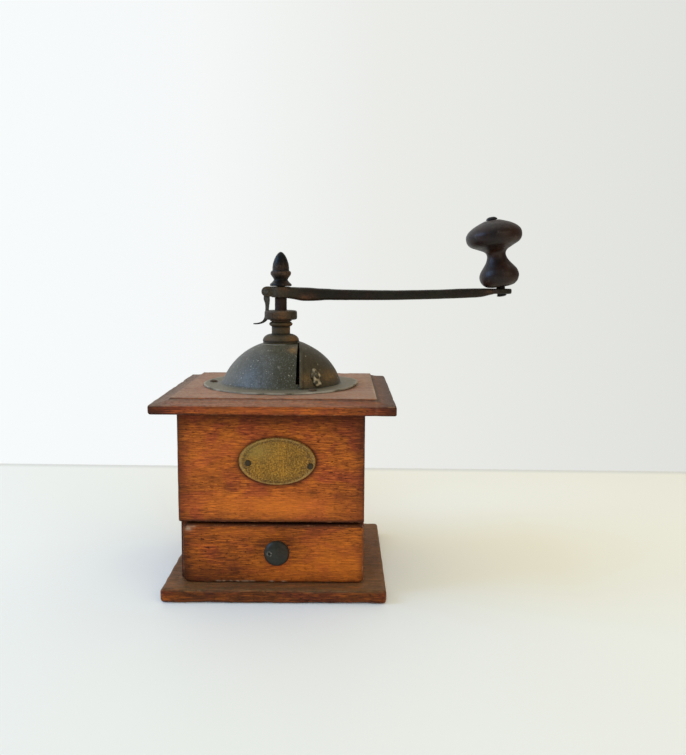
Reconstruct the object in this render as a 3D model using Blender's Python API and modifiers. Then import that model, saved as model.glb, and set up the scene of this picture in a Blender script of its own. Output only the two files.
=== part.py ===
"""Hand cranked coffee grinder: a nailed wooden box with a drawer, a sheet-metal hopper dome
with a turning door, a conical mill under it, and a crank with a turned wooden knob.

Metres, +Z up. The origin is the centre of the base's underside, on the spindle's axis.
The crank points along +X and the drawer opens towards -Y.
"""
import math

import bmesh
import bpy
from mathutils import Matrix, Vector

# Fits shared by every piece
JOINT_GAP = 0.0003
RUNNING_GAP = 0.0003
OVERRUN = 0.004
MERGE = 0.00001

# Wooden box
BASE_WIDTH = 0.147
BASE_THICKNESS = 0.009
BASE_ROUND = 0.0026
BODY_WIDTH = 0.122
BODY_DEPTH = 0.120
BODY_OFFSET = -0.0022
BODY_HEIGHT = 0.1152
PANEL_THICKNESS = 0.008
PANEL_ROUND = 0.0008
TOP_WIDTH = 0.156
TOP_EDGE_HEIGHT = 0.0062
TOP_BORDER = 0.0115
COVE_RISE = 0.0020
FIELD_STEP = 0.0012
TOP_ROUND = 0.0008
THROAT_RADIUS = 0.0245

# Drawer
DRAWER_OPENING = 0.0413
DRAWER_FRONT_WIDTH = 0.1190
DRAWER_FRONT_OFFSET = 0.0012
DRAWER_PROUD = 0.0008
DRAWER_ROUND = 0.0018
DRAWER_TOP_GAP = 0.0016
DRAWER_SIDE_GAP = 0.0006
DRAWER_BACK_GAP = 0.003
DRAWER_WALL = 0.006
DRAWER_WALL_HEIGHT = 0.032
DRAWER_FLOOR = 0.003
DRAWER_KNOB_RADIUS = 0.0083
DRAWER_KNOB_REACH = 0.0125
DRAWER_KNOB_STEM = 0.0042
DRAWER_KNOB_OFFSET = 0.0043
DRAWER_KNOB_RISE = 0.0037
DRAWER_SCREW_RADIUS = 0.0018
DRAWER_SCREW_HEAD = 0.0036
DRAWER_SCREW_DEPTH = 0.008

# Nails and screws in the wood
NAIL_RADIUS = 0.0007
NAIL_HEAD_RADIUS = 0.0012
NAIL_HEAD_HEIGHT = 0.0006
NAIL_LENGTH = 0.020
NAIL_INSET = 0.0056
BASE_SCREW_RADIUS = 0.0015
BASE_SCREW_HEAD_RADIUS = 0.0032
BASE_SCREW_HEAD_HEIGHT = 0.0022
BASE_SCREW_LENGTH = 0.020
BASE_SCREW_RECESS = 0.0006

# Oval plate on the front panel
PLATE_WIDTH = 0.0502
PLATE_HEIGHT = 0.0314
PLATE_THICKNESS = 0.0007
PLATE_RIM = 0.0017
PLATE_RIM_RISE = 0.0006
PLATE_OFFSET = 0.0040
PLATE_DROP = 0.0327
PLATE_PIN_RADIUS = 0.0008
PLATE_PIN_HEAD = 0.0021
PLATE_PIN_LENGTH = 0.006

# Hopper dome
DOME_RADIUS = 0.044
DOME_SINK = 0.0126
DOME_WALL = 0.001
FLANGE_RADIUS = 0.0545
WINDOW_BAND = 0.0036
DOME_SCREW_RADIUS = 0.0015
DOME_SCREW_HEAD = 0.0028
DOME_SCREW_HEAD_HEIGHT = 0.0012
DOME_SCREW_LENGTH = 0.0085
DOME_SCREW_COUNT = 3

# Hopper door
DOOR_WALL = 0.0009
DOOR_TONGUE_WIDTH = 0.012
DOOR_FOOT_GAP = 0.0008
DOOR_AJAR = math.radians(2.7)
TAB_WIDTH = 0.0088
TAB_HEIGHT = 0.0134
TAB_THICKNESS = 0.0010
TAB_LEVEL = 0.0075
TAB_AZIMUTH = math.radians(-52.7)
TAB_RIVET_RADIUS = 0.0009
TAB_RIVET_HEAD = 0.0018
TAB_RIVET_HEAD_HEIGHT = 0.0009

# Neck above the dome
NECK_RADIUS = 0.0065
NECK_HEIGHT = 0.0053
COLLAR_RADIUS = 0.0129
COLLAR_HEIGHT = 0.0050
BEAD_RADIUS = 0.00825
BEAD_HEIGHT = 0.0034
NECK_HUB_RADIUS = 0.0066
NECK_SHANK_RADIUS = 0.0059
NECK_SHANK_LENGTH = 0.0075
LOCK_NUT_RADIUS = 0.0095
LOCK_NUT_HEIGHT = 0.0045

# Spindle and grind adjustment
SPINDLE_RADIUS = 0.00435
SPINDLE_SQUARE = 0.0070
SPINDLE_STUB_RADIUS = 0.0029
SPINDLE_STUB_LENGTH = 0.0105
SPINDLE_SHAFT_RADIUS = 0.0039
SPINDLE_THREAD_LENGTH = 0.042
JOURNAL_RADIUS = 0.0030
WASHER_RADIUS = 0.0076
WASHER_THICKNESS = 0.0009
NUT_RADIUS = 0.0115
NUT_HEIGHT = 0.0064
NUT_NOTCHES = 10
NOTCH_DEPTH = 0.0032
NOTCH_WIDTH = 0.0034
NUT_CHAMFER = 0.0008

# Crank
HUB_RADIUS = 0.0066
HUB_HEIGHT = 0.0077
HUB_ABOVE_NUT = 0.0091
CRANK_RADIUS = 0.1552
ARM_THICKNESS = 0.0070
ARM_WIDTH = 0.0086
EYE_RADIUS = 0.0076
EYE_THICKNESS = 0.0036
ACORN_HEIGHT = 0.0239
ACORN_RADIUS = 0.0059
ACORN_CUP_RADIUS = 0.0072
ACORN_FOOT_RADIUS = 0.0077
ACORN_NECK_RADIUS = 0.00475

# Knob on its tilted pin
KNOB_HEIGHT = 0.0465
KNOB_BULB_RADIUS = 0.0195
KNOB_PIN_RADIUS = 0.0030
KNOB_TILT = math.radians(9.3)
KNOB_SEAT_GAP = 0.0014
KNOB_BUTTON_RADIUS = 0.0041
KNOB_BUTTON_HEIGHT = 0.0022
PIN_RIVET_RADIUS = 0.0036
PIN_RIVET_HEIGHT = 0.0010

# Pawl lever in the hub's fork
PAWL_OFFSET = 0.0100
PAWL_DROP = 0.0036
PAWL_HEAD_RADIUS = 0.0030
PAWL_REACH = 0.0232
PAWL_THICKNESS = 0.0028
FORK_CHEEK = 0.0020
FORK_END_RADIUS = 0.0035
PAWL_PIN_RADIUS = 0.0011
PAWL_PIN_HEAD_RADIUS = 0.0019
PAWL_PIN_HEAD_HEIGHT = 0.0006

# Mill under the top board
RING_FLANGE_RADIUS = 0.034
RING_FLANGE_THICKNESS = 0.0032
RING_RADIUS = 0.026
RING_HEIGHT = 0.0295
RING_THROAT_RADIUS = 0.0135
RING_THROAT_DEPTH = 0.0105
RING_MOUTH_LIP = 0.0008
CONE_HEIGHT = 0.020
CONE_TOP_RADIUS = 0.0072
CONE_BOTTOM_RADIUS = 0.0176
CONE_ABOVE_RING_END = 0.002
GRIND_GAP = 0.0013
TOOTH_COUNT = 11
TOOTH_DEPTH = 0.0011
TOOTH_TWIST = math.radians(24)
TOOTH_LEVELS = 3
CONE_PIN_RADIUS = 0.0012
CONE_PIN_LENGTH = 0.017
RING_SCREW_RADIUS = 0.0015
RING_SCREW_HEAD = 0.0029
RING_SCREW_HEAD_HEIGHT = 0.0016
RING_SCREW_BITE = 0.006
RING_SCREW_COUNT = 3
BRIDGE_WIDTH = 0.012
BRIDGE_THICKNESS = 0.003
BRIDGE_BOSS_RADIUS = 0.0065
BRIDGE_BOSS_HEIGHT = 0.0045
BRIDGE_SCREW_RADIUS = 0.0013
BRIDGE_SCREW_HEAD = 0.0026
BRIDGE_SCREW_HEAD_HEIGHT = 0.0015
BRIDGE_SCREW_BITE = 0.008

# Roundness of turned pieces
DOME_STEPS = 44
DOME_ARC_STEPS = 9
TURN_STEPS = 20
SMALL_STEPS = 8

# Places on the pieces, as shares of the sizes they follow
FRONT_NAIL_SHARES = ((-1, 0.22), (-1, 0.77), (1, 0.21), (1, 0.84))
BACK_NAIL_SHARES = (0.20, 0.80)
BASE_SCREW_SHARE = 0.35
PLATE_PIN_SHARES = ((-0.375, -0.04), (0.435, -0.10))
DRAWER_NAIL_SHARES = (0.30, 0.70)
BRIDGE_SCREW_SHARE = 0.5
HEAD_CROWN_SHARE = 0.62
ARM_ROUNDNESS_SHARE = 0.6

# Outlines, as shares of a piece's length and radius, from the bottom up where they are turned
COVE_SHARES = ((0.40, 0.15), (0.30, 0.25), (0.30, 0.60))
KNOB_SHARES = (
    (0.000, 0.33), (0.020, 0.51), (0.075, 0.65), (0.155, 0.71), (0.240, 0.66), (0.325, 0.51),
    (0.400, 0.39), (0.485, 0.335), (0.550, 0.39), (0.605, 0.58), (0.665, 0.84), (0.710, 0.96),
    (0.758, 1.00), (0.815, 0.98), (0.880, 0.86), (0.935, 0.66), (0.980, 0.40), (1.000, 0.26),
)
ACORN_SHARES = (
    (0.000, "foot", 0.95), (0.015, "foot", 1.00), (0.060, "foot", 0.98), (0.115, "foot", 0.78),
    (0.180, "neck", 1.00), (0.230, "neck", 1.12), (0.310, "cup", 0.94), (0.345, "cup", 1.00),
    (0.410, "cup", 1.00), (0.435, "cup", 0.92), (0.450, "acorn", 0.99), (0.540, "acorn", 1.00),
    (0.660, "acorn", 0.93), (0.780, "acorn", 0.78), (0.880, "acorn", 0.58), (0.955, "acorn", 0.34),
    (0.990, "acorn", 0.15),
)
DRAWER_KNOB_SHARES = (
    (1.00, 0.30), (0.98, 0.62), (0.90, 0.86), (0.76, 1.00), (0.62, 0.97), (0.52, 0.78),
)
TAB_SHARES = (
    (0.00, -0.50), (0.30, -0.44), (0.42, -0.30), (0.34, -0.16), (0.50, 0.00), (0.38, 0.18),
    (0.24, 0.34), (0.00, 0.50), (-0.24, 0.34), (-0.38, 0.18), (-0.50, 0.00), (-0.34, -0.16),
    (-0.42, -0.30), (-0.30, -0.44),
)
# The crank arm's stations: distance from the axis as a share of the crank's radius, then the top's
# drop below the hub's top and the thickness as shares of the arm's thickness, then the width's share
ARM_SHARES = (
    (0.000, 0.05, 1.05, 1.10), (0.055, 0.05, 1.20, 1.20), (0.095, 0.08, 1.34, 1.22),
    (0.130, 0.10, 1.34, 1.18), (0.170, 0.16, 1.24, 1.10), (0.210, 0.19, 1.14, 1.04),
    (0.280, 0.26, 1.07, 1.00), (0.500, 0.30, 0.99, 1.00), (0.720, 0.20, 0.94, 0.98),
    (0.830, 0.08, 0.96, 0.96), (0.905, 0.05, 0.88, 1.00), (0.945, 0.05, 0.68, 1.12),
    (0.975, 0.06, 0.50, 1.30),
)
# The pawl's outline below its head, as shares of its reach: the outer edge down, the thumb tail,
# and the inner edge back up
PAWL_SHARES = (
    (-0.090, -0.237), (-0.047, -0.362), (-0.039, -0.517), (-0.052, -0.646), (-0.069, -0.776),
    (-0.112, -0.871), (-0.194, -0.931), (-0.302, -0.961), (-0.401, -0.970), (-0.401, -0.996),
    (-0.284, -1.000), (-0.147, -0.974), (-0.039, -0.922), (0.026, -0.845), (0.056, -0.754),
    (0.060, -0.603), (0.066, -0.517), (0.080, -0.388), (0.095, -0.259),
)

# Levels, from the floor up
body_bottom = BASE_THICKNESS + JOINT_GAP
body_top = BASE_THICKNESS + BODY_HEIGHT
top_bottom = body_top + JOINT_GAP
field_top = top_bottom + TOP_EDGE_HEIGHT + COVE_RISE + FIELD_STEP
flange_bottom = field_top + JOINT_GAP
flange_top = flange_bottom + DOME_WALL
dome_centre = field_top - DOME_SINK
land_radius = COLLAR_RADIUS - JOINT_GAP
land_top = dome_centre + math.sqrt(DOME_RADIUS ** 2 - land_radius ** 2)
door_under = land_top + RUNNING_GAP
collar_bottom = door_under + DOOR_WALL + RUNNING_GAP
collar_top = collar_bottom + COLLAR_HEIGHT
bead_bottom = collar_top + NECK_HEIGHT
bead_top = bead_bottom + BEAD_HEIGHT
washer_bottom = bead_top + RUNNING_GAP
nut_bottom = washer_bottom + WASHER_THICKNESS + RUNNING_GAP
nut_top = nut_bottom + NUT_HEIGHT
hub_bottom = nut_top + HUB_ABOVE_NUT
hub_top = hub_bottom + HUB_HEIGHT
ring_top = top_bottom - JOINT_GAP
ring_bottom = ring_top - RING_HEIGHT
cone_bottom = ring_bottom + CONE_ABOVE_RING_END
cone_top = cone_bottom + CONE_HEIGHT
bridge_top = ring_bottom - JOINT_GAP
spindle_bore = SPINDLE_RADIUS + RUNNING_GAP

# Planes and places that several pieces share
body_front = -BODY_DEPTH / 2
panel_back = body_front + PANEL_THICKNESS
side_front = panel_back + JOINT_GAP
side_inside = BODY_WIDTH / 2 - PANEL_THICKNESS
side_middle = BODY_WIDTH / 2 - PANEL_THICKNESS / 2
front_panel_bottom = BASE_THICKNESS + DRAWER_OPENING
window_edge = COLLAR_RADIUS - RUNNING_GAP
flange_middle = (FLANGE_RADIUS + math.sqrt(DOME_RADIUS ** 2 - (flange_top - dome_centre) ** 2)) / 2
eye_top = hub_top - ARM_THICKNESS * ARM_SHARES[-1][1]
knob_seat = Vector((CRANK_RADIUS - KNOB_SEAT_GAP * math.tan(KNOB_TILT), 0, eye_top + KNOB_SEAT_GAP))
pawl_pivot = Vector((-PAWL_OFFSET, 0, hub_top - PAWL_DROP))

# Finishes: base colour, roughness, metallic
RED_WOOD = ((0.30, 0.095, 0.028), 0.55, 0.0)
DUSTY_WOOD = ((0.25, 0.115, 0.065), 0.65, 0.0)
DARK_WOOD = ((0.13, 0.055, 0.030), 0.65, 0.0)
INNER_WOOD = ((0.34, 0.20, 0.10), 0.70, 0.0)
KNOB_WOOD = ((0.020, 0.009, 0.007), 0.35, 0.0)
BLUED_SHEET = ((0.060, 0.068, 0.072), 0.50, 0.8)
BROWN_SHEET = ((0.085, 0.068, 0.048), 0.55, 0.7)
RUSTY_IRON = ((0.085, 0.052, 0.032), 0.60, 0.7)
BLACK_IRON = ((0.026, 0.021, 0.019), 0.50, 0.7)
CAST_IRON = ((0.060, 0.058, 0.056), 0.60, 0.8)
STEEL = ((0.20, 0.19, 0.18), 0.45, 0.9)
OLD_BRASS = ((0.30, 0.18, 0.045), 0.50, 0.9)

for old in list(bpy.data.objects):
    bpy.data.objects.remove(old)

parts = bpy.data.collections.new("coffee_grinder")
cutters = bpy.data.collections.new("cutters")
bpy.context.scene.collection.children.link(parts)
bpy.context.scene.collection.children.link(cutters)


def finish_material(name, finish):
    """A piece's own Principled material from its colour, roughness and metallic value."""
    colour, roughness, metallic = finish
    material = bpy.data.materials.new(name)
    material.use_nodes = True
    shader = material.node_tree.nodes["Principled BSDF"]
    shader.inputs["Base Color"].default_value = (*colour, 1)
    shader.inputs["Roughness"].default_value = roughness
    shader.inputs["Metallic"].default_value = metallic
    material.diffuse_color = (*colour, 1)
    return material


def add(name, mesh, finish=None, parent=None):
    """Place a mesh as a part with its finish, or as a hidden cutter when it has none."""
    piece = bpy.data.objects.new(name, mesh)
    piece.parent = parent
    if finish:
        mesh.materials.append(finish_material(name, finish))
        parts.objects.link(piece)
    else:
        piece.hide_render = True
        piece.display_type = "WIRE"
        cutters.objects.link(piece)
    return piece


def pivot(name, place=(0, 0, 0), turn=(0, 0, 0), parent=None):
    """An empty on a joint's axis, which carries the pieces that move together."""
    empty = bpy.data.objects.new(name, None)
    empty.location = place
    empty.rotation_euler = turn
    empty.parent = parent
    parts.objects.link(empty)
    return empty


def combine(piece, other, operation="DIFFERENCE"):
    """Cut a piece by another object, or join or keep what they share."""
    change = piece.modifiers.new(other.name, "BOOLEAN")
    change.operation = operation
    change.solver = "EXACT"
    change.object = other


def block_mesh(name, low, high):
    """A box between two corners."""
    mesh = bpy.data.meshes.new(name)
    solid = bmesh.new()
    bmesh.ops.create_cube(solid, size=1)
    size = [top - bottom for bottom, top in zip(low, high)]
    centre = [(top + bottom) / 2 for bottom, top in zip(low, high)]
    bmesh.ops.scale(solid, vec=size, verts=solid.verts)
    bmesh.ops.translate(solid, vec=centre, verts=solid.verts)
    solid.to_mesh(mesh)
    solid.free()
    return mesh


def round_edges(piece, radius, segments=2):
    """Soften a piece's sharp edges."""
    bevel = piece.modifiers.new("Rounding", "BEVEL")
    bevel.width = radius
    bevel.segments = segments
    bevel.limit_method = "ANGLE"


def block(name, low, high, finish=None, rounding=0, parent=None):
    """A box with softened edges, or a plain cutter."""
    piece = add(name, block_mesh(name, low, high), finish, parent)
    if rounding:
        round_edges(piece, rounding)
    return piece


def turned(name, profile, finish=None, parent=None, steps=TURN_STEPS, closed=False):
    """A (radius, height) profile turned about Z; a closed one goes round a bore."""
    mesh = bpy.data.meshes.new(name)
    edges = [(i, i + 1) for i in range(len(profile) - 1)]
    if closed:
        edges.append((len(profile) - 1, 0))
    mesh.from_pydata([(radius, 0, height) for radius, height in profile], edges, [])
    piece = add(name, mesh, finish, parent)
    screw = piece.modifiers.new("Turning", "SCREW")
    screw.steps = screw.render_steps = steps
    screw.use_merge_vertices = True
    screw.merge_threshold = MERGE
    screw.use_smooth_shade = True
    return piece


def as_mesh(piece):
    """A helper object's evaluated shape as a welded mesh; the object itself goes."""
    graph = bpy.context.evaluated_depsgraph_get()
    mesh = bpy.data.meshes.new_from_object(piece.evaluated_get(graph))
    solid = bmesh.new()
    solid.from_mesh(mesh)
    bmesh.ops.remove_doubles(solid, verts=solid.verts, dist=MERGE)
    bmesh.ops.recalc_face_normals(solid, faces=solid.faces)
    solid.to_mesh(mesh)
    solid.free()
    bpy.data.objects.remove(piece)
    return mesh


def outline_mesh(name, points, thickness):
    """A flat outline in XY with a thickness along Z, half on each side."""
    curve = bpy.data.curves.new(name, "CURVE")
    curve.dimensions = "2D"
    curve.fill_mode = "BOTH"
    curve.extrude = thickness / 2
    spline = curve.splines.new("POLY")
    spline.points.add(len(points) - 1)
    for point, (x, y) in zip(spline.points, points):
        point.co = (x, y, 0, 1)
    spline.use_cyclic_u = True
    guide = bpy.data.objects.new(name, curve)
    cutters.objects.link(guide)
    return as_mesh(guide)


def upright(mesh):
    """Stand a flat outline up: its Y becomes Z, and its thickness lies along Y."""
    mesh.transform(Matrix.Rotation(math.pi / 2, 4, "X"))
    return mesh


def cylinder(name, radius, bottom, top, finish=None, parent=None, steps=TURN_STEPS):
    """A plain round bar along Z."""
    profile = [(0, top), (radius, top), (radius, bottom), (0, bottom)]
    return turned(name, profile, finish, parent, steps)


def fastener_mesh(name, head_radius, head_height, radius, length, gap=0):
    """A nail or screw: its head above local zero, its shank below; a gap makes its hole."""
    shoulder = (head_radius + gap) * (1 if gap else HEAD_CROWN_SHARE)
    profile = [
        (0, head_height + gap), (shoulder, head_height + gap), (head_radius + gap, 0),
        (head_radius + gap, -gap), (radius + gap, -gap), (radius + gap, -length - gap),
        (0, -length - gap),
    ]
    if not gap:
        profile.pop(3)
    return as_mesh(turned(name, profile, steps=SMALL_STEPS))


def placed(place, direction):
    """The matrix that puts a fastener's seat at a place, with its head towards a direction."""
    turn = Vector(direction).to_track_quat("Z", "Y").to_matrix().to_4x4()
    return Matrix.Translation(place) @ turn


def hole_group(name, mesh, matrices, parent=None):
    """One cutter made of a mesh's copies at several places."""
    joined = bpy.data.meshes.new(name)
    solid = bmesh.new()
    for matrix in matrices:
        copy = mesh.copy()
        copy.transform(matrix)
        solid.from_mesh(copy)
        bpy.data.meshes.remove(copy)
    solid.to_mesh(joined)
    solid.free()
    return add(name, joined, parent=parent)


def fasten(name, sizes, matrices, pieces, finish, parent=None):
    """Like fasteners at their places, and their holes in the pieces that they hold."""
    shape = fastener_mesh(name, *sizes)
    shape.materials.append(finish_material(name, finish))
    for number, matrix in enumerate(matrices, 1):
        fastener = bpy.data.objects.new(f"{name}_{number}", shape)
        fastener.parent = parent
        fastener.matrix_local = matrix
        parts.objects.link(fastener)
    hole = fastener_mesh(name + "_hole", *sizes, gap=JOINT_GAP)
    holes = hole_group(name + "_holes", hole, matrices, parent)
    for piece in pieces:
        combine(piece, holes)


def ring_places(count, radius, start=math.pi):
    """Evenly spaced places on a circle."""
    angles = [start + math.tau * i / count for i in range(count)]
    return [(radius * math.cos(angle), radius * math.sin(angle)) for angle in angles]


def arc(centre, radius, start, end, steps):
    """Points on a circular arc, ends included."""
    angles = [start + (end - start) * i / steps for i in range(steps + 1)]
    return [(centre[0] + radius * math.cos(a), centre[1] + radius * math.sin(a)) for a in angles]


def toothed_cone(name, bottom_radius, top_radius, bottom, top, depth, finish=None, parent=None):
    """A cone with slanted ridges: a star outline drawn upwards while it shrinks and turns."""
    solid = bmesh.new()
    bmesh.ops.create_circle(solid, cap_ends=True, segments=2 * TOOTH_COUNT, radius=bottom_radius)
    ring = sorted(solid.verts, key=lambda vert: math.atan2(vert.co.y, vert.co.x))
    for vert in ring[::2]:
        vert.co *= (bottom_radius - depth) / bottom_radius
    bmesh.ops.translate(solid, vec=(0, 0, bottom), verts=solid.verts)
    face = next(iter(solid.faces))
    radius = bottom_radius
    for level in range(1, TOOTH_LEVELS + 1):
        new_radius = bottom_radius + (top_radius - bottom_radius) * level / TOOTH_LEVELS
        grown = bmesh.ops.extrude_face_region(solid, geom=[face])["geom"]
        face = next(item for item in grown if isinstance(item, bmesh.types.BMFace))
        rise = Matrix.Translation((0, 0, (top - bottom) / TOOTH_LEVELS))
        turn = Matrix.Rotation(TOOTH_TWIST / TOOTH_LEVELS, 4, "Z")
        shrink = Matrix.Diagonal((new_radius / radius, new_radius / radius, 1, 1))
        bmesh.ops.transform(solid, matrix=rise @ turn @ shrink, verts=face.verts)
        radius = new_radius
    inner = [item for item in solid.faces if len(item.verts) > 4 and item is not face]
    bmesh.ops.delete(solid, geom=[item for item in inner if item.calc_center_median().z > bottom + MERGE],
                     context="FACES_ONLY")
    bmesh.ops.recalc_face_normals(solid, faces=solid.faces)
    mesh = bpy.data.meshes.new(name)
    solid.to_mesh(mesh)
    solid.free()
    return add(name, mesh, finish, parent)


def make_box():
    """The base, the four panels and the nails and screws that hold them."""
    body = pivot("body_middle", (BODY_OFFSET, 0, 0))
    half = BASE_WIDTH / 2
    base = block("base_board", (-half, -half, 0), (half, half, BASE_THICKNESS), DARK_WOOD, BASE_ROUND)
    sides = []
    for name, sign in (("side_panel_left", -1), ("side_panel_right", 1)):
        outer, inner = sign * BODY_WIDTH / 2, sign * side_inside
        low = (min(outer, inner), side_front, body_bottom)
        high = (max(outer, inner), -side_front, body_top)
        sides.append(block(name, low, high, RED_WOOD, PANEL_ROUND, body))
    width = BODY_WIDTH / 2
    front = block("front_panel", (-width, body_front, front_panel_bottom), (width, panel_back, body_top),
                  RED_WOOD, PANEL_ROUND, body)
    back = block("back_panel", (-width, -panel_back, body_bottom), (width, -body_front, body_top),
                 RED_WOOD, PANEL_ROUND, body)

    nail = (NAIL_HEAD_RADIUS, NAIL_HEAD_HEIGHT, NAIL_RADIUS, NAIL_LENGTH)
    panel_height = body_top - front_panel_bottom
    nail_x = width - NAIL_INSET
    places = [placed((side * nail_x, body_front + NAIL_HEAD_HEIGHT, front_panel_bottom + share * panel_height),
                     (0, -1, 0)) for side, share in FRONT_NAIL_SHARES]
    fasten("front_nail", nail, places, [front, *sides], RUSTY_IRON, body)
    places = [placed((x, -body_front - NAIL_HEAD_HEIGHT, body_bottom + share * BODY_HEIGHT), (0, 1, 0))
              for x in (-nail_x, nail_x) for share in BACK_NAIL_SHARES]
    fasten("back_nail", nail, places, [back, *sides], RUSTY_IRON, body)

    screw = (BASE_SCREW_HEAD_RADIUS, BASE_SCREW_HEAD_HEIGHT, BASE_SCREW_RADIUS, BASE_SCREW_LENGTH)
    seat = BASE_SCREW_RECESS + BASE_SCREW_HEAD_HEIGHT
    places = [placed((x, sign * BASE_SCREW_SHARE * BODY_DEPTH, seat), (0, 0, -1))
              for x in (-side_middle, side_middle) for sign in (-1, 1)]
    fasten("base_screw", screw, places, [base, *sides], STEEL, body)
    recess = fastener_mesh("screw_recess", BASE_SCREW_HEAD_RADIUS, seat + OVERRUN,
                           BASE_SCREW_RADIUS, BASE_THICKNESS, gap=JOINT_GAP)
    combine(base, hole_group("screw_recesses", recess, places, body))
    return body, front


def make_top_board():
    """The moulded board: square edge, hollow border, a step and a raised field, with a throat hole."""
    half = TOP_WIDTH / 2
    mesh = bpy.data.meshes.new("top_board")
    solid = bmesh.new()
    bmesh.ops.create_cube(solid, size=1)
    bmesh.ops.scale(solid, vec=(TOP_WIDTH, TOP_WIDTH, TOP_EDGE_HEIGHT), verts=solid.verts)
    middle = top_bottom + TOP_EDGE_HEIGHT / 2
    bmesh.ops.translate(solid, vec=(0, 0, middle), verts=solid.verts)
    top = max(solid.faces, key=lambda face: face.calc_center_median().z)
    steps = [(TOP_BORDER * width, COVE_RISE * rise) for width, rise in COVE_SHARES]
    steps.append((FIELD_STEP / 2, FIELD_STEP))
    for width, rise in steps:
        bmesh.ops.inset_region(solid, faces=[top], thickness=width, use_even_offset=True)
        bmesh.ops.translate(solid, vec=(0, 0, rise), verts=top.verts)
    solid.to_mesh(mesh)
    solid.free()
    board = add("top_board", mesh, DUSTY_WOOD)
    round_edges(board, TOP_ROUND)
    combine(board, cylinder("throat_cutter", THROAT_RADIUS, top_bottom - OVERRUN, field_top + OVERRUN))
    return board


def make_name_plate(body, front):
    """A bare oval plate with a raised rim, pinned to the front panel."""
    centre = Vector((PLATE_OFFSET, body_front - JOINT_GAP, body_top - PLATE_DROP))
    solid = bmesh.new()
    bmesh.ops.create_circle(solid, cap_ends=True, segments=2 * TURN_STEPS, radius=1)
    bmesh.ops.scale(solid, vec=(PLATE_WIDTH / 2, PLATE_HEIGHT / 2, 1), verts=solid.verts)
    face = next(iter(solid.faces))
    grown = bmesh.ops.extrude_face_region(solid, geom=[face])["geom"]
    top = next(item for item in grown if isinstance(item, bmesh.types.BMFace))
    bmesh.ops.translate(solid, vec=(0, 0, PLATE_THICKNESS), verts=top.verts)
    rim_steps = ((PLATE_RIM / 3, PLATE_RIM_RISE), (PLATE_RIM / 3, 0), (PLATE_RIM / 3, -PLATE_RIM_RISE))
    for width, rise in rim_steps:
        bmesh.ops.inset_region(solid, faces=[top], thickness=width, use_even_offset=True)
        bmesh.ops.translate(solid, vec=(0, 0, rise), verts=top.verts)
    bmesh.ops.recalc_face_normals(solid, faces=solid.faces)
    mesh = bpy.data.meshes.new("name_plate")
    solid.to_mesh(mesh)
    solid.free()
    upright(mesh)
    mesh.transform(Matrix.Translation(centre))
    plate = add("name_plate", mesh, OLD_BRASS, body)
    seat = body_front - JOINT_GAP - PLATE_THICKNESS - JOINT_GAP
    places = [placed((centre.x + x * PLATE_WIDTH, seat, centre.z + z * PLATE_HEIGHT), (0, -1, 0))
              for x, z in PLATE_PIN_SHARES]
    pin = (PLATE_PIN_HEAD, NAIL_HEAD_HEIGHT, PLATE_PIN_RADIUS, PLATE_PIN_LENGTH)
    fasten("plate_pin", pin, places, [plate, front], RUSTY_IRON, body)


def make_dome(board):
    """The hopper: a spun cap with a flat land, a flange, and a window behind the door."""
    slope_end = math.asin((flange_top - dome_centre) / DOME_RADIUS)
    slope_start = math.acos(land_radius / DOME_RADIUS)
    profile = [(NECK_SHANK_RADIUS + JOINT_GAP, land_top)]
    profile += arc((0, dome_centre), DOME_RADIUS, slope_start, slope_end, DOME_ARC_STEPS)
    profile.append((FLANGE_RADIUS, flange_top))
    dome = turned("dome", profile, BLUED_SHEET, steps=DOME_STEPS)
    wall = dome.modifiers.new("Sheet", "SOLIDIFY")
    wall.thickness = DOME_WALL
    wall.offset = -1
    wall.use_even_offset = True
    reach = DOME_RADIUS + OVERRUN
    combine(dome, block("window_cutter", (window_edge, -reach, flange_top + WINDOW_BAND),
                        (reach, reach, land_top + OVERRUN)))
    places = [placed((x, y, flange_top + JOINT_GAP), (0, 0, 1))
              for x, y in ring_places(DOME_SCREW_COUNT, flange_middle)]
    screw = (DOME_SCREW_HEAD, DOME_SCREW_HEAD_HEIGHT, DOME_SCREW_RADIUS, DOME_SCREW_LENGTH)
    fasten("dome_screw", screw, places, [dome, board], RUSTY_IRON)


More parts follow.
